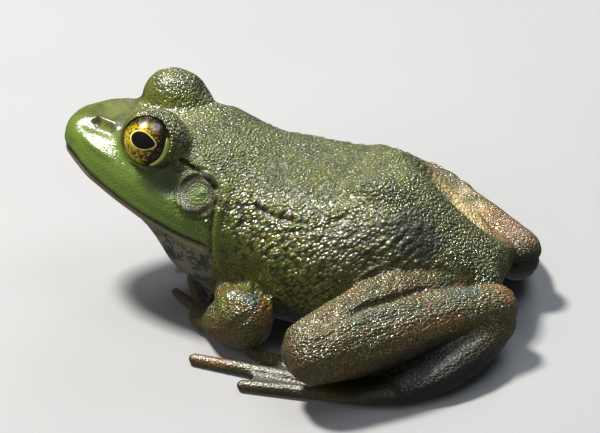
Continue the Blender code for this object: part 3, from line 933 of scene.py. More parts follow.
# Each tint's ellipsoids: middle, half sizes, strength and, where it isn't on both sides, its side. The
# darkest tint's ellipsoids are painted shade, and the palest ones on the far leg are partly painted
# highlight.
STAINS_AND_PAINTED_LIGHT = {
    Tint.LIME: (
        ((8.5, 32, 59), (5.5, 9, 3), 0.9),
        ((14, 41, 54), (4, 4, 4), 0.35),
        ((19, 26, 57), (3.5, 4, 3), 0.6),
        ((8, 103, 48.8), (6, 6, 3), 0.5),
        ((27.8, 54.4, 27), (2.5, 2.4, 6), 0.9),
        ((27, 57, 36), (3, 5, 12), 0.5),
        ((9.6, 14.6, 53.5), (2.4, 3.2, 2.4), 0.7),
        ((31, 68, 27), (7, 16, 11), 0.45),
        ((41.5, 60.6, 19), (5, 3.2, 5), 0.45),
        ((43, 66.5, 18), (4, 6, 2.2), 0.35),
        ((59, 85, 21), (4, 3, 8), 0.35),
    ),
    Tint.RUST: (
        ((7.8, 11.6, 53.5), (2.2, 2.2, 1.5), 0.6),
        ((41, 74, 17), (6, 3.4, 6), 0.8),
        ((65, 90.5, 19), (6, 5, 9), 0.35),
        ((22, 127.5, 23.6), (8, 4, 1.6), 0.75),
        ((38, 122, 20.5), (12, 15, 3.4), 0.7),
        ((17, 140, 19), (6, 5, 6), 0.8),
        ((15, 134, 23), (10, 8, 5), 0.85, RIGHT_ONLY),
        ((48.5, 59, 3), (4, 8, 3), 0.8, LEFT_ONLY),
    ),
    Tint.LEAF: (
        ((26.5, 46, 37.5), (4, 8, 4), 0.8),
    ),
    # Painted shade: under the eye, on the knee, on and under the far heel, over the hind feet and the near
    # toes, behind the near hip, on the near flank's rear, on the low flank, and round the nostril, where it
    # also darkens the rust stain.
    Tint.SHADE_AND_DARK_SKIN: (
        ((21.4, 38.6, 47), (6, 9, 5), 0.7),
        ((63, 88, 17), (10, 9, 10), 0.45),
        ((13, 141, 14), (9, 5, 5), 0.8, RIGHT_ONLY),
        ((16, 138, 22), (8, 6, 5), 0.35, RIGHT_ONLY),
        ((44, 122, 6), (26, 32, 11), 0.95),
        ((52, 82, 2), (10, 14, 5), 0.85, LEFT_ONLY),
        ((19, 113, 37), (9, 10, 9), 0.75, LEFT_ONLY),
        ((25, 98, 31), (9, 18, 12), 0.45, LEFT_ONLY),
        ((30, 76, 8), (9, 14, 8), 0.8),
        ((7.9, 11.6, 53.4), (1.8, 1.6, 1.1), 0.45),
    ),
    Tint.SLATE: (
        ((41, 69.5, 21.5), (3, 3, 3), 0.9),
        ((40, 64, 22.6), (3, 4, 3), 0.6),
        ((25, 129.5, 24.4), (8, 9, 2.6), 0.6, LEFT_ONLY),
        ((48, 109, 26.8), (13, 12, 2.6), 0.4, LEFT_ONLY),
    ),
    # Partly the far leg's pale skin, partly painted sunlight and sparkle on its lit band.
    Tint.CREAM_AND_HIGHLIGHT: (
        ((10, 127, 29), (8, 7, 4.5), 0.95, RIGHT_ONLY),
        ((18, 121, 29), (9, 9, 4), 0.8, RIGHT_ONLY),
        ((28, 119, 25), (12, 10, 4), 0.35, RIGHT_ONLY),
        ((21, 114, 33), (8, 8, 6), 0.5, RIGHT_ONLY),
    ),
}
PATCHES = tuple(Patch(tint, *place) for tint, places in STAINS_AND_PAINTED_LIGHT.items() for place in places)

MOUNDS = (
    Mound("hip_corner", (11.4, 101.4, 48.8), 3.6, 0.9),
    Mound("neck_top", (12, 49, 55), 9, 0.8),
    Mound("under_eye", (23, 40, 45.4), 4.4, -2),
    Mound("behind_eye", (14.2, 42, 55), 3.2, 0.7),
    Mound("jaw_corner", (28, 54.2, 26.6), 2.2, 0.8),
    Mound("far_rump", (9, 127, 31), 6.5, -2.2, RIGHT_ONLY),
    Mound("far_loin", (11, 119, 38.5), 8, -3.4, RIGHT_ONLY),
)

NUDGES = (
    Nudge("snout_top", (8.5, 15.5, 54.5), 7.5, (0, 0, 0.5), LEFT_ONLY),
    Nudge("far_snout_top", (8.5, 15.5, 54.5), 7.5, (0, 0, 1.6), RIGHT_ONLY),
    Nudge("snout_low", (11.5, 5, 46.5), 5.5, (-0.5, 1, 0.5)),
    Nudge("upper_arm", (31.5, 63.5, 26), 5.5, (-1, 0, -4.5)),
    Nudge("arm_front", (31.5, 58.4, 21.2), 4, (-0.4, 0.4, -2.4)),
    Nudge("arm_back", (33.5, 70.5, 22), 4.2, (-0.4, -1.6, -3.8)),
    Nudge("throat_front", (24.5, 37.5, 27), 6, (-0.8, 1, 1)),
    Nudge("far_lid", (12.5, 31, 61), 11, (0, -1.2, 1.2), RIGHT_ONLY),
    Nudge("far_lid_back", (12.7, 41, 59.6), 4, (0, -1.6, -0.5), RIGHT_ONLY),
    Nudge("far_neck", (13, 48, 53), 9, (0, 0, 1.1), RIGHT_ONLY),
    Nudge("far_hip", (10.5, 101, 50), 9, (0, 0, -1.4), RIGHT_ONLY),
    Nudge("far_loin", (13, 109, 45), 7, (-0.8, -0.5, -2), RIGHT_ONLY),
    Nudge("far_waist", (15, 113, 38), 7.5, (-4.8, -2, -2.7), RIGHT_ONLY),
    Nudge("far_waist_low", (15, 117.5, 33.5), 6.5, (-2.6, -1.6, -1.8), RIGHT_ONLY),
    Nudge("far_rump", (12, 123, 30.5), 7.5, (-2, -0.2, -0.6), RIGHT_ONLY),
    Nudge("far_rump_low", (9, 130, 27), 5, (-2, -0.8, -1), RIGHT_ONLY),
    Nudge("far_heel", (13, 141, 7.5), 6.5, (0, -0.8, 5), RIGHT_ONLY),
)


@dataclass
class Skin:
    """One skin over all the flesh, fused from the solids, relaxed, and then worked with folds and warts."""

    nodes: tuple[str, ...]
    eyes: tuple["Eye", ...]
    swell: float = 0.28
    shrink: float = 0.2
    voxel: float = 0.48
    relax_rounds: int = 70
    relax_pushes: tuple[float, float] = (0.5, -0.52)
    most_faces: int = 192000
    folds: tuple[Fold, ...] = FOLDS
    patches: tuple[Patch, ...] = PATCHES
    mounds: tuple[Mound, ...] = MOUNDS
    nudges: tuple[Nudge, ...] = NUDGES
    trace_step: float = 0.9
    wrinkle_slant: float = 38.0
    wrinkle_size: Triple = (6.5, 2.4, 5.0)
    wrinkle_depth: float = 0.55
    wrinkle_seed: int = 5
    lump_size: float = 2.6
    lump_height: float = 0.2
    lump_seed: int = 11
    wart_seed: int = 8
    wart_tries: int = 1500
    wart_gap: float = 2.5
    wart_reach: float = 2.6
    wart_lifts: tuple[float, float] = (0.15, 0.45)
    wart_radii: tuple[float, float] = (0.7, 1.1)
    eye_gap: float = 0.1
    lid_middle: Spot = (0.0, 32.0, 59.0)
    lid_half: Triple = (12.0, 10.0, 5.0)
    piece: bpy.types.Object = field(init=False)

    def build(self) -> None:
        """Makes the skin's mesh, from the solids to the last fold."""
        self.fuse()
        self.relax()
        self.sculpt()
        self.thin()

    def fuse(self) -> None:
        """Copies the solids, swells them until they meet, and turns them into one even surface."""
        copies = []
        for name in self.nodes:
            copy = bpy.data.objects.new(f"{name}_copy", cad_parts[name].data.copy())
            bpy.context.scene.collection.objects.link(copy)
            copies.append(copy)
        select_only(*copies)
        bpy.ops.object.join()
        self.piece = bpy.context.view_layer.objects.active
        self.piece.name = "skin"
        self.piece.data.name = "skin"
        bpy.ops.object.mode_set(mode="EDIT")
        bpy.ops.mesh.select_all(action="SELECT")
        bpy.ops.mesh.remove_doubles(threshold=MM / 100)
        bpy.ops.object.mode_set(mode="OBJECT")
        self.piece.data.materials.clear()
        apply_modifier(self.piece, "DISPLACE", strength=self.swell * MM, mid_level=0.0)
        voxels = {"mode": "VOXEL", "voxel_size": self.voxel * MM, "use_smooth_shade": True}
        apply_modifier(self.piece, "REMESH", **voxels)

    def shares(self) -> dict[str, np.ndarray]:
        """Which solid each point of the skin is nearest to.

        Returns:
            For each solid, 1 at the points nearest to it and 0 at the others.
        """
        tree = kdtree.KDTree(sum(len(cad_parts[name].data.vertices) for name in self.nodes))
        owners = []
        for number, name in enumerate(self.nodes):
            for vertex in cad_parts[name].data.vertices:
                tree.insert(vertex.co, len(owners))
                owners.append(number)
        tree.balance()
        owners = np.array(owners)
        nearest = np.array([owners[tree.find(point)[1]] for point in points_of(self.piece.data)])
        return {name: (nearest == number).astype(float) for number, name in enumerate(self.nodes)}

    def neighbours(self) -> tuple[np.ndarray, np.ndarray]:
        """Reads how the points of the mesh are joined.

        Returns:
            The two points of each edge, and how many edges meet at each point.
        """
        mesh = self.piece.data
        edges = np.empty(len(mesh.edges) * 2, np.int32)
        mesh.edges.foreach_get("vertices", edges)
        edges = edges.reshape(-1, 2)
        count = np.bincount(edges.ravel(), minlength=len(mesh.vertices))
        return edges, np.maximum(count, 1)

    @staticmethod
    def averaged(values: np.ndarray, edges: np.ndarray, count: np.ndarray) -> np.ndarray:
        """The mean of each point's neighbours.

        Args:
            values: One number, or one row, for each point.
            edges: The two points of each edge.
            count: How many edges meet at each point.

        Returns:
            The means, laid out as the values are.
        """
        size = len(count)
        columns = values.reshape(size, -1)
        sums = np.empty_like(columns)
        for column in range(columns.shape[1]):
            line = columns[:, column]
            sums[:, column] = np.bincount(edges[:, 0], line[edges[:, 1]], size)
            sums[:, column] += np.bincount(edges[:, 1], line[edges[:, 0]], size)
        return (sums / count[:, None]).reshape(values.shape)

    def softened(self, values: np.ndarray, rounds: int) -> np.ndarray:
        """Values spread over the surface.

        Args:
            values: One number, or one row, for each point.
            rounds: How many times they are averaged with their neighbours.

        Returns:
            The values after the last round.
        """
        edges, count = self.neighbours()
        for _ in range(rounds):
            values = (values + self.averaged(values, edges, count)) / 2
        return values

    def relax(self) -> None:
        """Rubs out facets and steps, most on the trunk and least on the digits, and thins no limb."""
        shares = self.shares()
        torso = sum(shares[name] for name in TORSO_NODES)
        digits = sum(shares[name] for name in DIGIT_NODES)
        weight = self.softened(0.55 + 0.45 * torso - 0.3 * digits, 12)[:, None]
        edges, count = self.neighbours()
        points = points_of(self.piece.data)
        for _ in range(self.relax_rounds):
            for push in self.relax_pushes:
                points = points + push * weight * (self.averaged(points, edges, count) - points)
        move_points(self.piece.data, points)
        points = points - normals_of(self.piece.data) * self.shrink * MM
        move_points(self.piece.data, points)

    def traced(self, fold: Fold, side: Side) -> np.ndarray:
        """The line of a fold, laid onto the skin.

        Args:
            fold: The fold.
            side: Which side of the frog it is laid on.

        Returns:
            The spots of the line, in order.
        """
        line = smooth_line([on_side(spot, side) for spot in fold.spots], self.trace_step)
        found = [self.piece.closest_point_on_mesh(Vector(point))[1] for point in to_metres(line)]
        return to_spots(np.array(found))

    @staticmethod
    def from_line(line: np.ndarray, spots: np.ndarray, reach: float) -> tuple[np.ndarray, np.ndarray]:
        """How far spots are from a line.

        Args:
            line: Points of the line, in order.
            spots: The spots, one in each row.
            reach: Spots further off than this are left at this distance.

        Returns:
            The distance of each spot, and the share of the line's length at which it is nearest.
        """
        gap = np.full(len(spots), reach, float)
        where = np.zeros(len(spots))
        near = np.flatnonzero(((spots > line.min(0) - reach) & (spots < line.max(0) + reach)).all(1))
        close = spots[near]
        best, place = gap[near], where[near]
        for number, (start, end) in enumerate(zip(line, line[1:])):
            run = end - start
            share = np.clip((close - start) @ run / max(run @ run, 1e-9), 0, 1)
            off = np.linalg.norm(close - start - share[:, None] * run, axis=1)
            nearer = off < best
            best[nearer] = off[nearer]
            place[nearer] = (number + share[nearer]) / (len(line) - 1)
        gap[near], where[near] = best, place
        return gap, where

    def along_fold(self, fold: Fold, spots: np.ndarray, width: float, beads: int = 0) -> np.ndarray:
        """How strongly a fold acts at each spot.

        Args:
            fold: The fold.
            spots: The spots, one in each row.
            width: How far from its line the fold has faded to 1/e.
            beads: How many beads it is strung with, or 0 for a plain fold.

        Returns:
            A number from 0 to 1 for each spot.
        """
        total = np.zeros(len(spots))
        for side in fold.sides:
            gap, where = self.from_line(self.traced(fold, side), spots, width * 3)
            ends = eased(where, 0, fold.fade) * eased(where, 1, 1 - fold.fade) if fold.fade else 1.0
            beaded = 0.55 - 0.45 * np.cos(math.tau * beads * where) if beads else 1.0
            total = np.maximum(total, hill(gap, width) * ends * beaded * (gap < width * 3))
        return total

    def sculpt(self) -> None:
        """Works the mouth, ears, nostrils and folds into the skin, and keeps it off the eyes."""
        mesh = self.piece.data
        spots = to_spots(points_of(mesh))
        normals = normals_of(mesh)
        lift = np.zeros(len(spots))
        for fold in self.folds:
            lift += fold.lift * self.along_fold(fold, spots, fold.width, fold.beads)
            log.debug("fold: %s", fold.name)
        for mound in self.mounds:
            for side in mound.sides:
                lift += mound.lift * hill(gap_from(spots, on_side(mound.centre, side)), mound.radius)
            log.debug("mound: %s", mound.name)
        lift += self.mouth_lift(spots)
        lift += self.ear_lift(spots)
        lift += self.wrinkle_lift(spots)
        lift += self.wart_lift(spots)
        spots = spots + normals * lift[:, None]
        for nudge in self.nudges:
            for side in nudge.sides:
                share = hill(gap_from(spots, on_side(nudge.centre, side)), nudge.reach)
                spots = spots + share[:, None] * on_side(nudge.step, side)
            log.debug("nudge: %s", nudge.name)
        spots = self.off_the_eyes(spots)
        spots[:, 2] = np.maximum(spots[:, 2], 0.0)
        move_points(mesh, to_metres(spots))

    @staticmethod
    def over_lips(spots: np.ndarray) -> np.ndarray:
        """Distance of spots above the line where the lips meet."""
        along, height = np.array(LIPS).T
        return (spots[:, 2] - np.interp(spots[:, 1], along, height)) * MOUTH_COSINE

    def mouth_lift(self, spots: np.ndarray) -> np.ndarray:
        """The groove between the lips, with a lip swelling over and under it.

        Args:
            spots: The spots, one in each row.

        Returns:
            How far the skin is lifted at each spot.
        """
        over = self.over_lips(spots)
        here = eased(spots[:, 1], MOUTH_END, MOUTH_END - 3.5)
        groove = -0.6 * hill(over, MOUTH_WIDTH)
        return here * (groove + 0.3 * hill(over - 1.3, 1.0) + 0.8 * hill(over + 1.4, 0.9))

    def ear_lift(self, spots: np.ndarray) -> np.ndarray:
        """The drum of the ear: a ring, a shallow dish in it and a low boss in the middle.

        Args:
            spots: The spots, one in each row.

        Returns:
            How far the skin is lifted at each spot.
        """
        out = self.from_ear(spots)
        dish = -0.25 * eased(out, DRUM_RING, 5.0)
        ring = 0.18 * hill(out - DRUM_RING, 0.6) - 0.3 * hill(out - DRUM_GROOVE, 0.45)
        return dish + ring + 0.25 * hill(out, 2.0)

    def flank_share(self, spots: np.ndarray) -> np.ndarray:
        """Where the loose, wrinkled skin of the flanks lies.

        Args:
            spots: The spots, one in each row.

        Returns:
            A number from 0 to 1 for each spot.
        """
        out, along, height = np.abs(spots[:, 0]), spots[:, 1], spots[:, 2]
        side = eased(out, 15, 22) * eased(height, 49, 43) * eased(height, 8, 14)
        return side * eased(along, 55, 62) * eased(along, 124, 108)

    def wrinkle_lift(self, spots: np.ndarray) -> np.ndarray:
        """Slanting wrinkles on the flanks, and low lumps over the whole back.

        Args:
            spots: The spots, one in each row.

        Returns:
            How far the skin is lifted at each spot.
        """
        slant = math.radians(self.wrinkle_slant)
        run = spots[:, 1] * math.cos(slant) + spots[:, 2] * math.sin(slant)
        rise = spots[:, 2] * math.cos(slant) - spots[:, 1] * math.sin(slant)
        turned = np.column_stack((run, rise, np.abs(spots[:, 0])))
        ridge = 1 - np.abs(2 * lattice_noise(turned / self.wrinkle_size, self.wrinkle_seed) - 1)
        lumps = lattice_noise(spots / self.lump_size, self.lump_seed) - 0.5
        back = eased(spots[:, 1], 40, 56) * eased(spots[:, 2], 6, 12)
        wrinkles = self.wrinkle_depth * (ridge - 0.6) * self.flank_share(spots)
        return wrinkles + self.lump_height * lumps * back

    def wart_lift(self, spots: np.ndarray) -> np.ndarray:
        """Round warts of uneven size, scattered over the flanks and more thinly over the back.

        Args:
            spots: The spots, one in each row.

        Returns:
            How far the skin is lifted at each spot.
        """
        rng = np.random.default_rng(self.wart_seed)
        back = eased(spots[:, 1], 48, 58) * eased(spots[:, 1], 132, 120) * eased(spots[:, 2], 12, 18)
        chance = (self.flank_share(spots) + 0.15 * back) * (np.abs(spots[:, 0]) < 32)
        picks = spots[rng.choice(len(spots), self.wart_tries, replace=False, p=chance / chance.sum())]
        kept = []
        lift = np.zeros(len(spots))
        for pick in picks:
            if kept and gap_from(np.array(kept), pick).min() < self.wart_gap:
                continue
            kept.append(pick)
            near = np.flatnonzero((np.abs(spots - pick) < self.wart_reach).all(1))
            gap = gap_from(spots[near], pick)
            lift[near] += rng.uniform(*self.wart_lifts) * hill(gap, rng.uniform(*self.wart_radii))
        log.info("warts: %d", len(kept))
        return lift

    @staticmethod
    def from_ear(spots: np.ndarray) -> np.ndarray:
        """Distance of spots from the middle of the nearer ear drum."""
        ears = (to_spots(middle_of(*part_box(name)) * MM) + EAR_SHIFT for name in EAR_NODES)
        return np.minimum(*(gap_from(spots, middle) for middle in ears))

    def off_the_eyes(self, spots: np.ndarray) -> np.ndarray:
        """Pushes the skin out of the eyeballs.

        Args:
            spots: The spots of the skin, one in each row.

        Returns:
            The spots, none of them in an eyeball.
        """
        for eye in self.eyes:
            way = spots - eye.centre
            gap = np.linalg.norm(way, axis=1)
            clear = eye.radius + self.eye_gap
            inside = gap < clear
            spots[inside] = eye.centre + way[inside] * (clear / gap[inside])[:, None]
        return spots

    def thin(self) -> None:
        """Brings the mesh under its limit of faces and shades it smooth."""
        mesh = self.piece.data
        apply_modifier(self.piece, "TRIANGULATE")
        faces = len(mesh.polygons)
        log.info("skin before thinning: %d triangles", faces)
        if faces > self.most_faces:
            apply_modifier(self.piece, "DECIMATE", ratio=self.most_faces / faces)
        shade_smooth(self.piece)

    def paint_regions(self) -> None:
        """Stores on the mesh where the skin is beaded, in rows, pale, on a limb, stained, or painted with
        shade and highlights.
        """
        mesh = self.piece.data
        spots = to_spots(points_of(mesh))
        shares = self.shares()
        limb = self.softened(1 - sum(shares[name] for name in TORSO_NODES), 6)
        digits = self.softened(sum(shares[name] for name in DIGIT_NODES), 6)
        face = self.face_share(spots) * (1 - limb)
        pale = self.pale_share(spots, limb)
        grain = self.grain_share(spots, face) * (1 - 0.85 * pale) * (1 - 0.15 * limb) * (1 - 0.5 * digits)
        grain = self.ear_and_fold_grain(spots, grain)
        lid = hill(np.linalg.norm((spots - self.lid_middle) / self.lid_half, axis=1), 1.0)
        rows = (1 - limb) * np.maximum(self.flank_share(spots), 0.7 * lid)
        stains = self.stains(spots, face, limb, digits)
        pale = pale * (1 - stains[Tint.TAN])
        regions = {"grain": grain, "rows": rows, "limb": limb, "pale": pale}
        for name, values in regions.items():
            put_attribute(mesh, name, np.clip(values, 0, 1))
        put_attribute(mesh, "drum", np.minimum(self.from_ear(spots), 9.0))
        put_attribute(mesh, "folded", np.column_stack((np.abs(spots[:, 0]), spots[:, 1:])))
        for tint, values in stains.items():
            put_attribute(mesh, tint.value, np.clip(values, 0, 1))

    def face_share(self, spots: np.ndarray) -> np.ndarray:
        """Where the smooth green face lies.

        Args:
            spots: The spots, one in each row.

        Returns:
            A number from 0 to 1 for each spot.
        """
        along, height = spots[:, 1], spots[:, 2]
        cheek_along, cheek_height = np.array(CHEEK).T
        cheek = height - np.interp(along, cheek_along, cheek_height)
        return eased(cheek, 1.2, -0.6) * eased(self.over_lips(spots), -0.2, 0.3) * eased(along, 58, 50)

    def pale_share(self, spots: np.ndarray, limb: np.ndarray) -> np.ndarray:
        """Where the pale skin of the jaw, the throat and the belly lies.

        Args:
            spots: The spots, one in each row.
            limb: Where the limbs are, from 0 to 1.

        Returns:
            A number from 0 to 1 for each spot.
        """
        out, along, height = np.abs(spots[:, 0]), spots[:, 1], spots[:, 2]
        below = eased(self.over_lips(spots), 0.2, -0.3) * eased(along, MOUTH_END + 2, MOUTH_END - 2)
        facing = normals_of(self.piece.data)[:, 2]
        belly = eased(facing, -0.1, -0.6) * eased(height, 26, 12) * eased(out, 27, 20) * (1 - limb * 0.6)
        return np.maximum(below * (1 - limb), belly)

    @staticmethod
    def grain_share(spots: np.ndarray, face: np.ndarray) -> np.ndarray:
        """How beaded the skin is: less and less towards the snout, and least on the face."""
        smooth = face * (1 - 0.65 * eased(spots[:, 1], 34, 50))
        return (0.12 + 0.88 * eased(spots[:, 1], 14, 44)) * (1 - smooth)

    def ear_and_fold_grain(self, spots: np.ndarray, grain: np.ndarray) -> np.ndarray:
        """Adds the grain of the ear drums and of the rim below them, and takes it off the smooth folds.

        Args:
            spots: The spots, one in each row.
            grain: How beaded the skin is there, from 0 to 1.

        Returns:
            How beaded the skin is with its ears and folds.
        """
        drum = self.from_ear(spots)
        in_drum = eased(drum, *DRUM_EDGE)
        grain = np.maximum(grain * (1 - in_drum), 0.6 * in_drum)
        for fold in self.folds:
            if fold.smooth:
                grain = grain * (1 - fold.smooth * self.along_fold(fold, spots, fold.width))
        return np.maximum(grain, 0.95 * hill(drum - 7.0, 0.7) * eased(spots[:, 2], 48.5, 46.5))

    def stains(
        self, spots: np.ndarray, face: np.ndarray, limb: np.ndarray, digits: np.ndarray
    ) -> dict[Tint, np.ndarray]:
        """Where each tint colours the skin, painted shade and painted highlight among them.

        Args:
            spots: The spots, one in each row.
            face: Where the green face is, from 0 to 1.
            limb: Where the limbs are, from 0 to 1.
            digits: Where the fingers and toes are, from 0 to 1.

        Returns:
            For each tint, how strong it is at each spot.
        """
        along, height = spots[:, 1], spots[:, 2]
        lips, drum = self.over_lips(spots), self.from_ear(spots)
        in_drum = eased(drum, *DRUM_EDGE)
        boss = eased(drum, 4.4, 2.6)
        brow = 0.8 * eased(height, 49.5, 55.5) * eased(along, -6, 12)
        lip = hill(lips + 1.5, 1.3) * eased(lips, 0.0, -0.3)
        stains = {tint: np.zeros(len(spots)) for tint in Tint}
        stains[Tint.LEAF] = face * (1 - brow) * (1 - 0.35 * eased(along, 11, 3))
        stains[Tint.BRONZE] = in_drum * (1 - 0.9 * boss)
        stains[Tint.RUST] = 0.2 * hill(drum - 5.2, 1.0)
        stains[Tint.LIME] = 0.6 * hill(drum - 7.2, 0.7)
        stains[Tint.TAN] = lip * eased(along, MOUTH_END, MOUTH_END - 4) * (1 - limb)
        for patch in self.patches:
            stains[patch.tint] = np.maximum(stains[patch.tint], self.patch_on(patch, spots))
        for fold in self.folds:
            if fold.tint:
                stain = fold.stain * self.along_fold(fold, spots, fold.stain_width)
                stains[fold.tint] = np.maximum(stains[fold.tint], stain)
        stains[Tint.LEAF] = np.maximum(stains[Tint.LEAF] * (1 - in_drum), 0.8 * boss)
        # Painted shade in the groove of the mouth and round the groove of the ear drum; on the digits
        # partly painted shade and partly their darker skin.
        mouth = hill(lips, MOUTH_WIDTH) * eased(along, MOUTH_END, MOUTH_END - 3) * (1 - limb)
        rim = 0.6 * hill(drum - DRUM_GROOVE, 0.4) * eased(along, 44, 48)
        stains[Tint.SHADE_AND_DARK_SKIN] = np.maximum.reduce((stains[Tint.SHADE_AND_DARK_SKIN], mouth, rim, 0.45 * digits))
        return stains

    @staticmethod
    def patch_on(patch: Patch, spots: np.ndarray) -> np.ndarray:
        """How strongly a patch stains each spot.

        Args:
            patch: The patch.
            spots: The spots, one in each row.

        Returns:
            A number from 0 to the patch's strength for each spot.
        """
        total = np.zeros(len(spots))
        for side in patch.sides:
            off = np.linalg.norm((spots - on_side(patch.centre, side)) / patch.half, axis=1)
            total = np.maximum(total, patch.strength * eased(off, 1.3, 0.5))
        return total

    def dress(self, finish: SkinFinish) -> None:
        """Paints the regions and gives the skin its finish.

        Args:
            finish: What the skin is dressed in.
        """
        self.paint_regions()
        self.piece.data.materials.append(finish.material())
        settle(self.piece, self.nodes)


@dataclass
class Eye:
    """One eyeball with its clear front standing a little proud."""

    node: str
    side: Side
    turn: float = 8.0
    lift: float = 19.0
    radius: float = 8.05
    ahead: float = 0.5
    raised: float = -0.6
    bulge: float = 0.035
    piece: bpy.types.Object = field(init=False)

    @property
    def centre(self) -> np.ndarray:
        """The middle of the ball, as a spot."""
        return np.array((self.side.value * EYE_OUT, SNOUT_TO_EYE - self.ahead, EYE_UP + self.raised))

    def axes(self) -> tuple[np.ndarray, np.ndarray, np.ndarray]:
        """Works out how the eye is turned.

        Returns:
            Which way it looks, which way is forward across it, and which way is up it.
        """
        turn, lift = math.radians(self.turn), math.radians(self.lift)
        outward = self.side.value * math.cos(turn) * math.cos(lift)
        look = np.array((outward, -math.sin(turn) * math.cos(lift), math.sin(lift)))
        up = np.array((0.0, 0.0, 1.0)) - look * look[2]
        up /= np.linalg.norm(up)
        forward = np.cross(look, up) * self.side.value
        return look, forward, up

    def turned(self, points: np.ndarray) -> np.ndarray:
        """Points about the ball's own pole, turned to the gaze and set in the head, all in metres."""
        look, forward, up = self.axes()
        return points @ np.array((forward * -self.side.value, up, look)) + to_metres(self.centre)

    def build(self) -> None:
        """Turns a ball to the gaze and swells its front."""
        bpy.ops.object.select_all(action="DESELECT")
        bpy.ops.mesh.primitive_uv_sphere_add(segments=96, ring_count=64, radius=self.radius * MM)
        self.piece = bpy.context.object
        self.piece.name = self.node + "_ball"
        mesh = self.piece.data
        points = points_of(mesh)
        front = eased(points[:, 2] / (self.radius * MM), 0.6, 1.0)
        points *= (1 + self.bulge * front)[:, None]
        move_points(mesh, self.turned(points))
        put_attribute(mesh, "gaze", points / MM * (-self.side.value, 1, 1))
        shade_smooth(self.piece)

    def dress(self, finish: IrisFinish) -> None:
        """Gives the eye its finish."""
        self.piece.data.materials.append(finish.material())
        settle(self.piece, (self.node,))


@dataclass
class Lid:
    """The wet margin between the skin and the eyeball, broadest behind and below."""

    eye: Eye
    ring: float = 7.45
    thick: float = 0.34
    flattened: float = 0.7
    behind: float = 206.0
    behind_wider: float = 2.2
    behind_inward: float = 0.75
    front: float = -12.0
    front_wider: float = 0.5
    front_inward: float = 0.3
    front_paler: float = 0.8
    piece: bpy.types.Object = field(init=False)

    def build(self) -> None:
        """Bends a ring round the eye and widens it behind, and a little in front."""
        bpy.ops.object.select_all(action="DESELECT")
        radii = {"major_radius": self.ring * MM, "minor_radius": self.thick * MM}
        bpy.ops.mesh.primitive_torus_add(major_segments=128, minor_segments=16, **radii)
        self.piece = bpy.context.object
        self.piece.name = self.eye.node.replace("eye", "lid_margin")
        mesh = self.piece.data
        points = points_of(mesh) / MM
        angle = np.arctan2(points[:, 1], points[:, 0] * -self.eye.side.value)
        behind = eased(np.cos(angle - math.radians(self.behind)), 0.5, 0.95)
        front = eased(np.cos(angle - math.radians(self.front)), 0.76, 0.93)
        ring = np.hypot(points[:, 0], points[:, 1])
        wide = (ring - self.ring) * (1 + self.behind_wider * behind + self.front_wider * front)
        wide = wide - self.behind_inward * behind - self.front_inward * front
        tilt = math.asin(self.ring / self.eye.radius) + wide / self.eye.radius
        reach = self.eye.radius + points[:, 2] * self.flattened
        flat = points[:, :2] / ring[:, None] * (reach * np.sin(tilt))[:, None]
        bent = np.column_stack((flat, reach * np.cos(tilt))) * MM
        move_points(mesh, self.eye.turned(bent))
        put_attribute(mesh, "crescent", np.maximum(behind, front * self.front_paler))
        shade_smooth(self.piece)

    def dress(self, finish: LidFinish) -> None:
        """Gives the margin its finish."""
        self.piece.data.materials.append(finish.material())
        settle(self.piece, (self.eye.node,))


@dataclass(frozen=True)
class Lamp:
    """A soft square light that shines on the frog. Its distance and size are in metres."""

    name: str
    way: Triple
    distance: float
    size: float
    watts: float
    colour: Triple
    glossy: bool = True

    def hang(self) -> None:
        """Hangs the light in the scene."""
        data = bpy.data.lights.new(self.name, "AREA")
        data.shape = "SQUARE"
        data.size = self.size
        data.energy = self.watts
        data.color = self.colour
        lamp = bpy.data.objects.new(self.name, data)
        direction = Vector(self.way).normalized()
        lamp.location = direction * self.distance
        lamp.rotation_euler = direction.to_track_quat("Z", "Y").to_euler()
        lamp.visible_glossy = self.glossy
        bpy.context.scene.collection.objects.link(lamp)


LAMPS = (
    Lamp("key_light", (-0.15, -0.42, 0.9), 1.3, 0.2, 38.0, (1.0, 0.97, 0.9)),
    Lamp("sky_light", (-0.12, 0.28, 0.95), 1.1, 0.6, 3.0, (0.84, 0.93, 1.0)),
    Lamp("far_light", (-0.78, 0.06, 0.62), 1.1, 0.5, 3.5, (0.88, 0.95, 1.0)),
    Lamp("side_light", (0.72, -0.45, 0.53), 1.2, 0.9, 4.5, (1.0, 0.99, 0.95), glossy=False),
)


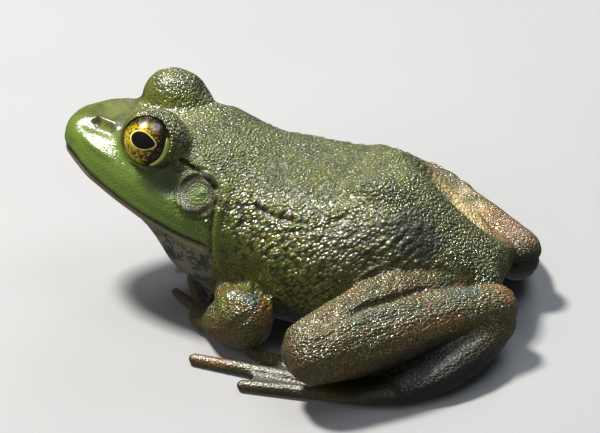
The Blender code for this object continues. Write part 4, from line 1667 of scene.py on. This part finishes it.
@dataclass
class Studio:
    """A plain pale floor, soft light and the camera, which aims at a point of the row frame."""

    floor_metres: float = 4.0
    sky: Colour = (0.86, 0.92, 1.0, 1.0)
    sky_strength: float = 0.1
    azimuth: float = 105.0
    elevation: float = 30.0
    camera_metres: float = 1.2
    lens: float = 237.6
    aim: Triple = (-4.34, 0.77, 26.92)

    def build(self) -> None:
        """Lays the floor, hangs the lights and sets the camera."""
        self.lay_floor()
        for lamp in LAMPS:
            lamp.hang()
        self.light_world()
        self.set_camera()

    def lay_floor(self) -> None:
        """Lays a wide, flat floor that shows in no reflection."""
        bpy.ops.object.select_all(action="DESELECT")
        bpy.ops.mesh.primitive_grid_add(x_subdivisions=8, y_subdivisions=8, size=self.floor_metres)
        floor = bpy.context.object
        floor.name = "floor"
        floor.data.materials.append(FloorFinish().material())
        floor.visible_glossy = False

    def light_world(self) -> None:
        """Fills the shade with a dim, even sky."""
        world = bpy.data.worlds.new("studio")
        world.use_nodes = True
        background = world.node_tree.nodes["Background"]
        background.inputs["Color"].default_value = self.sky
        background.inputs["Strength"].default_value = self.sky_strength
        bpy.context.scene.world = world

    def set_camera(self) -> None:
        """Looks at the frog from its left side, a little from behind and above."""
        turn, lift = math.radians(self.azimuth), math.radians(self.elevation)
        back = Vector((math.sin(turn) * math.cos(lift), -math.cos(turn) * math.cos(lift), math.sin(lift)))
        data = bpy.data.cameras.new("camera")
        data.lens = self.lens
        camera = bpy.data.objects.new("camera", data)
        camera.location = Vector(self.aim) * MM + back * self.camera_metres
        camera.rotation_euler = back.to_track_quat("Z", "Y").to_euler()
        bpy.context.scene.collection.objects.link(camera)
        bpy.context.scene.camera = camera
        bpy.context.scene.view_settings.view_transform = "Standard"


def main() -> None:
    """Builds the skin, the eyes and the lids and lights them."""
    logging.basicConfig(level=logging.INFO, format="%(name)s %(message)s")
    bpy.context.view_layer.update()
    flesh = tuple(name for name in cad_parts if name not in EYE_NODES)
    eyes = (Eye("eye_left", Side.LEFT), Eye("eye_right", Side.RIGHT, ahead=1.6, raised=0.5))
    skin = Skin(flesh, eyes)
    skin.build()
    skin.dress(SkinFinish())
    for eye in eyes:
        eye.build()
        eye.dress(IrisFinish())
        lid = Lid(eye)
        lid.build()
        lid.dress(LidFinish())
    Studio().build()


if __name__ == "__main__":
    main()
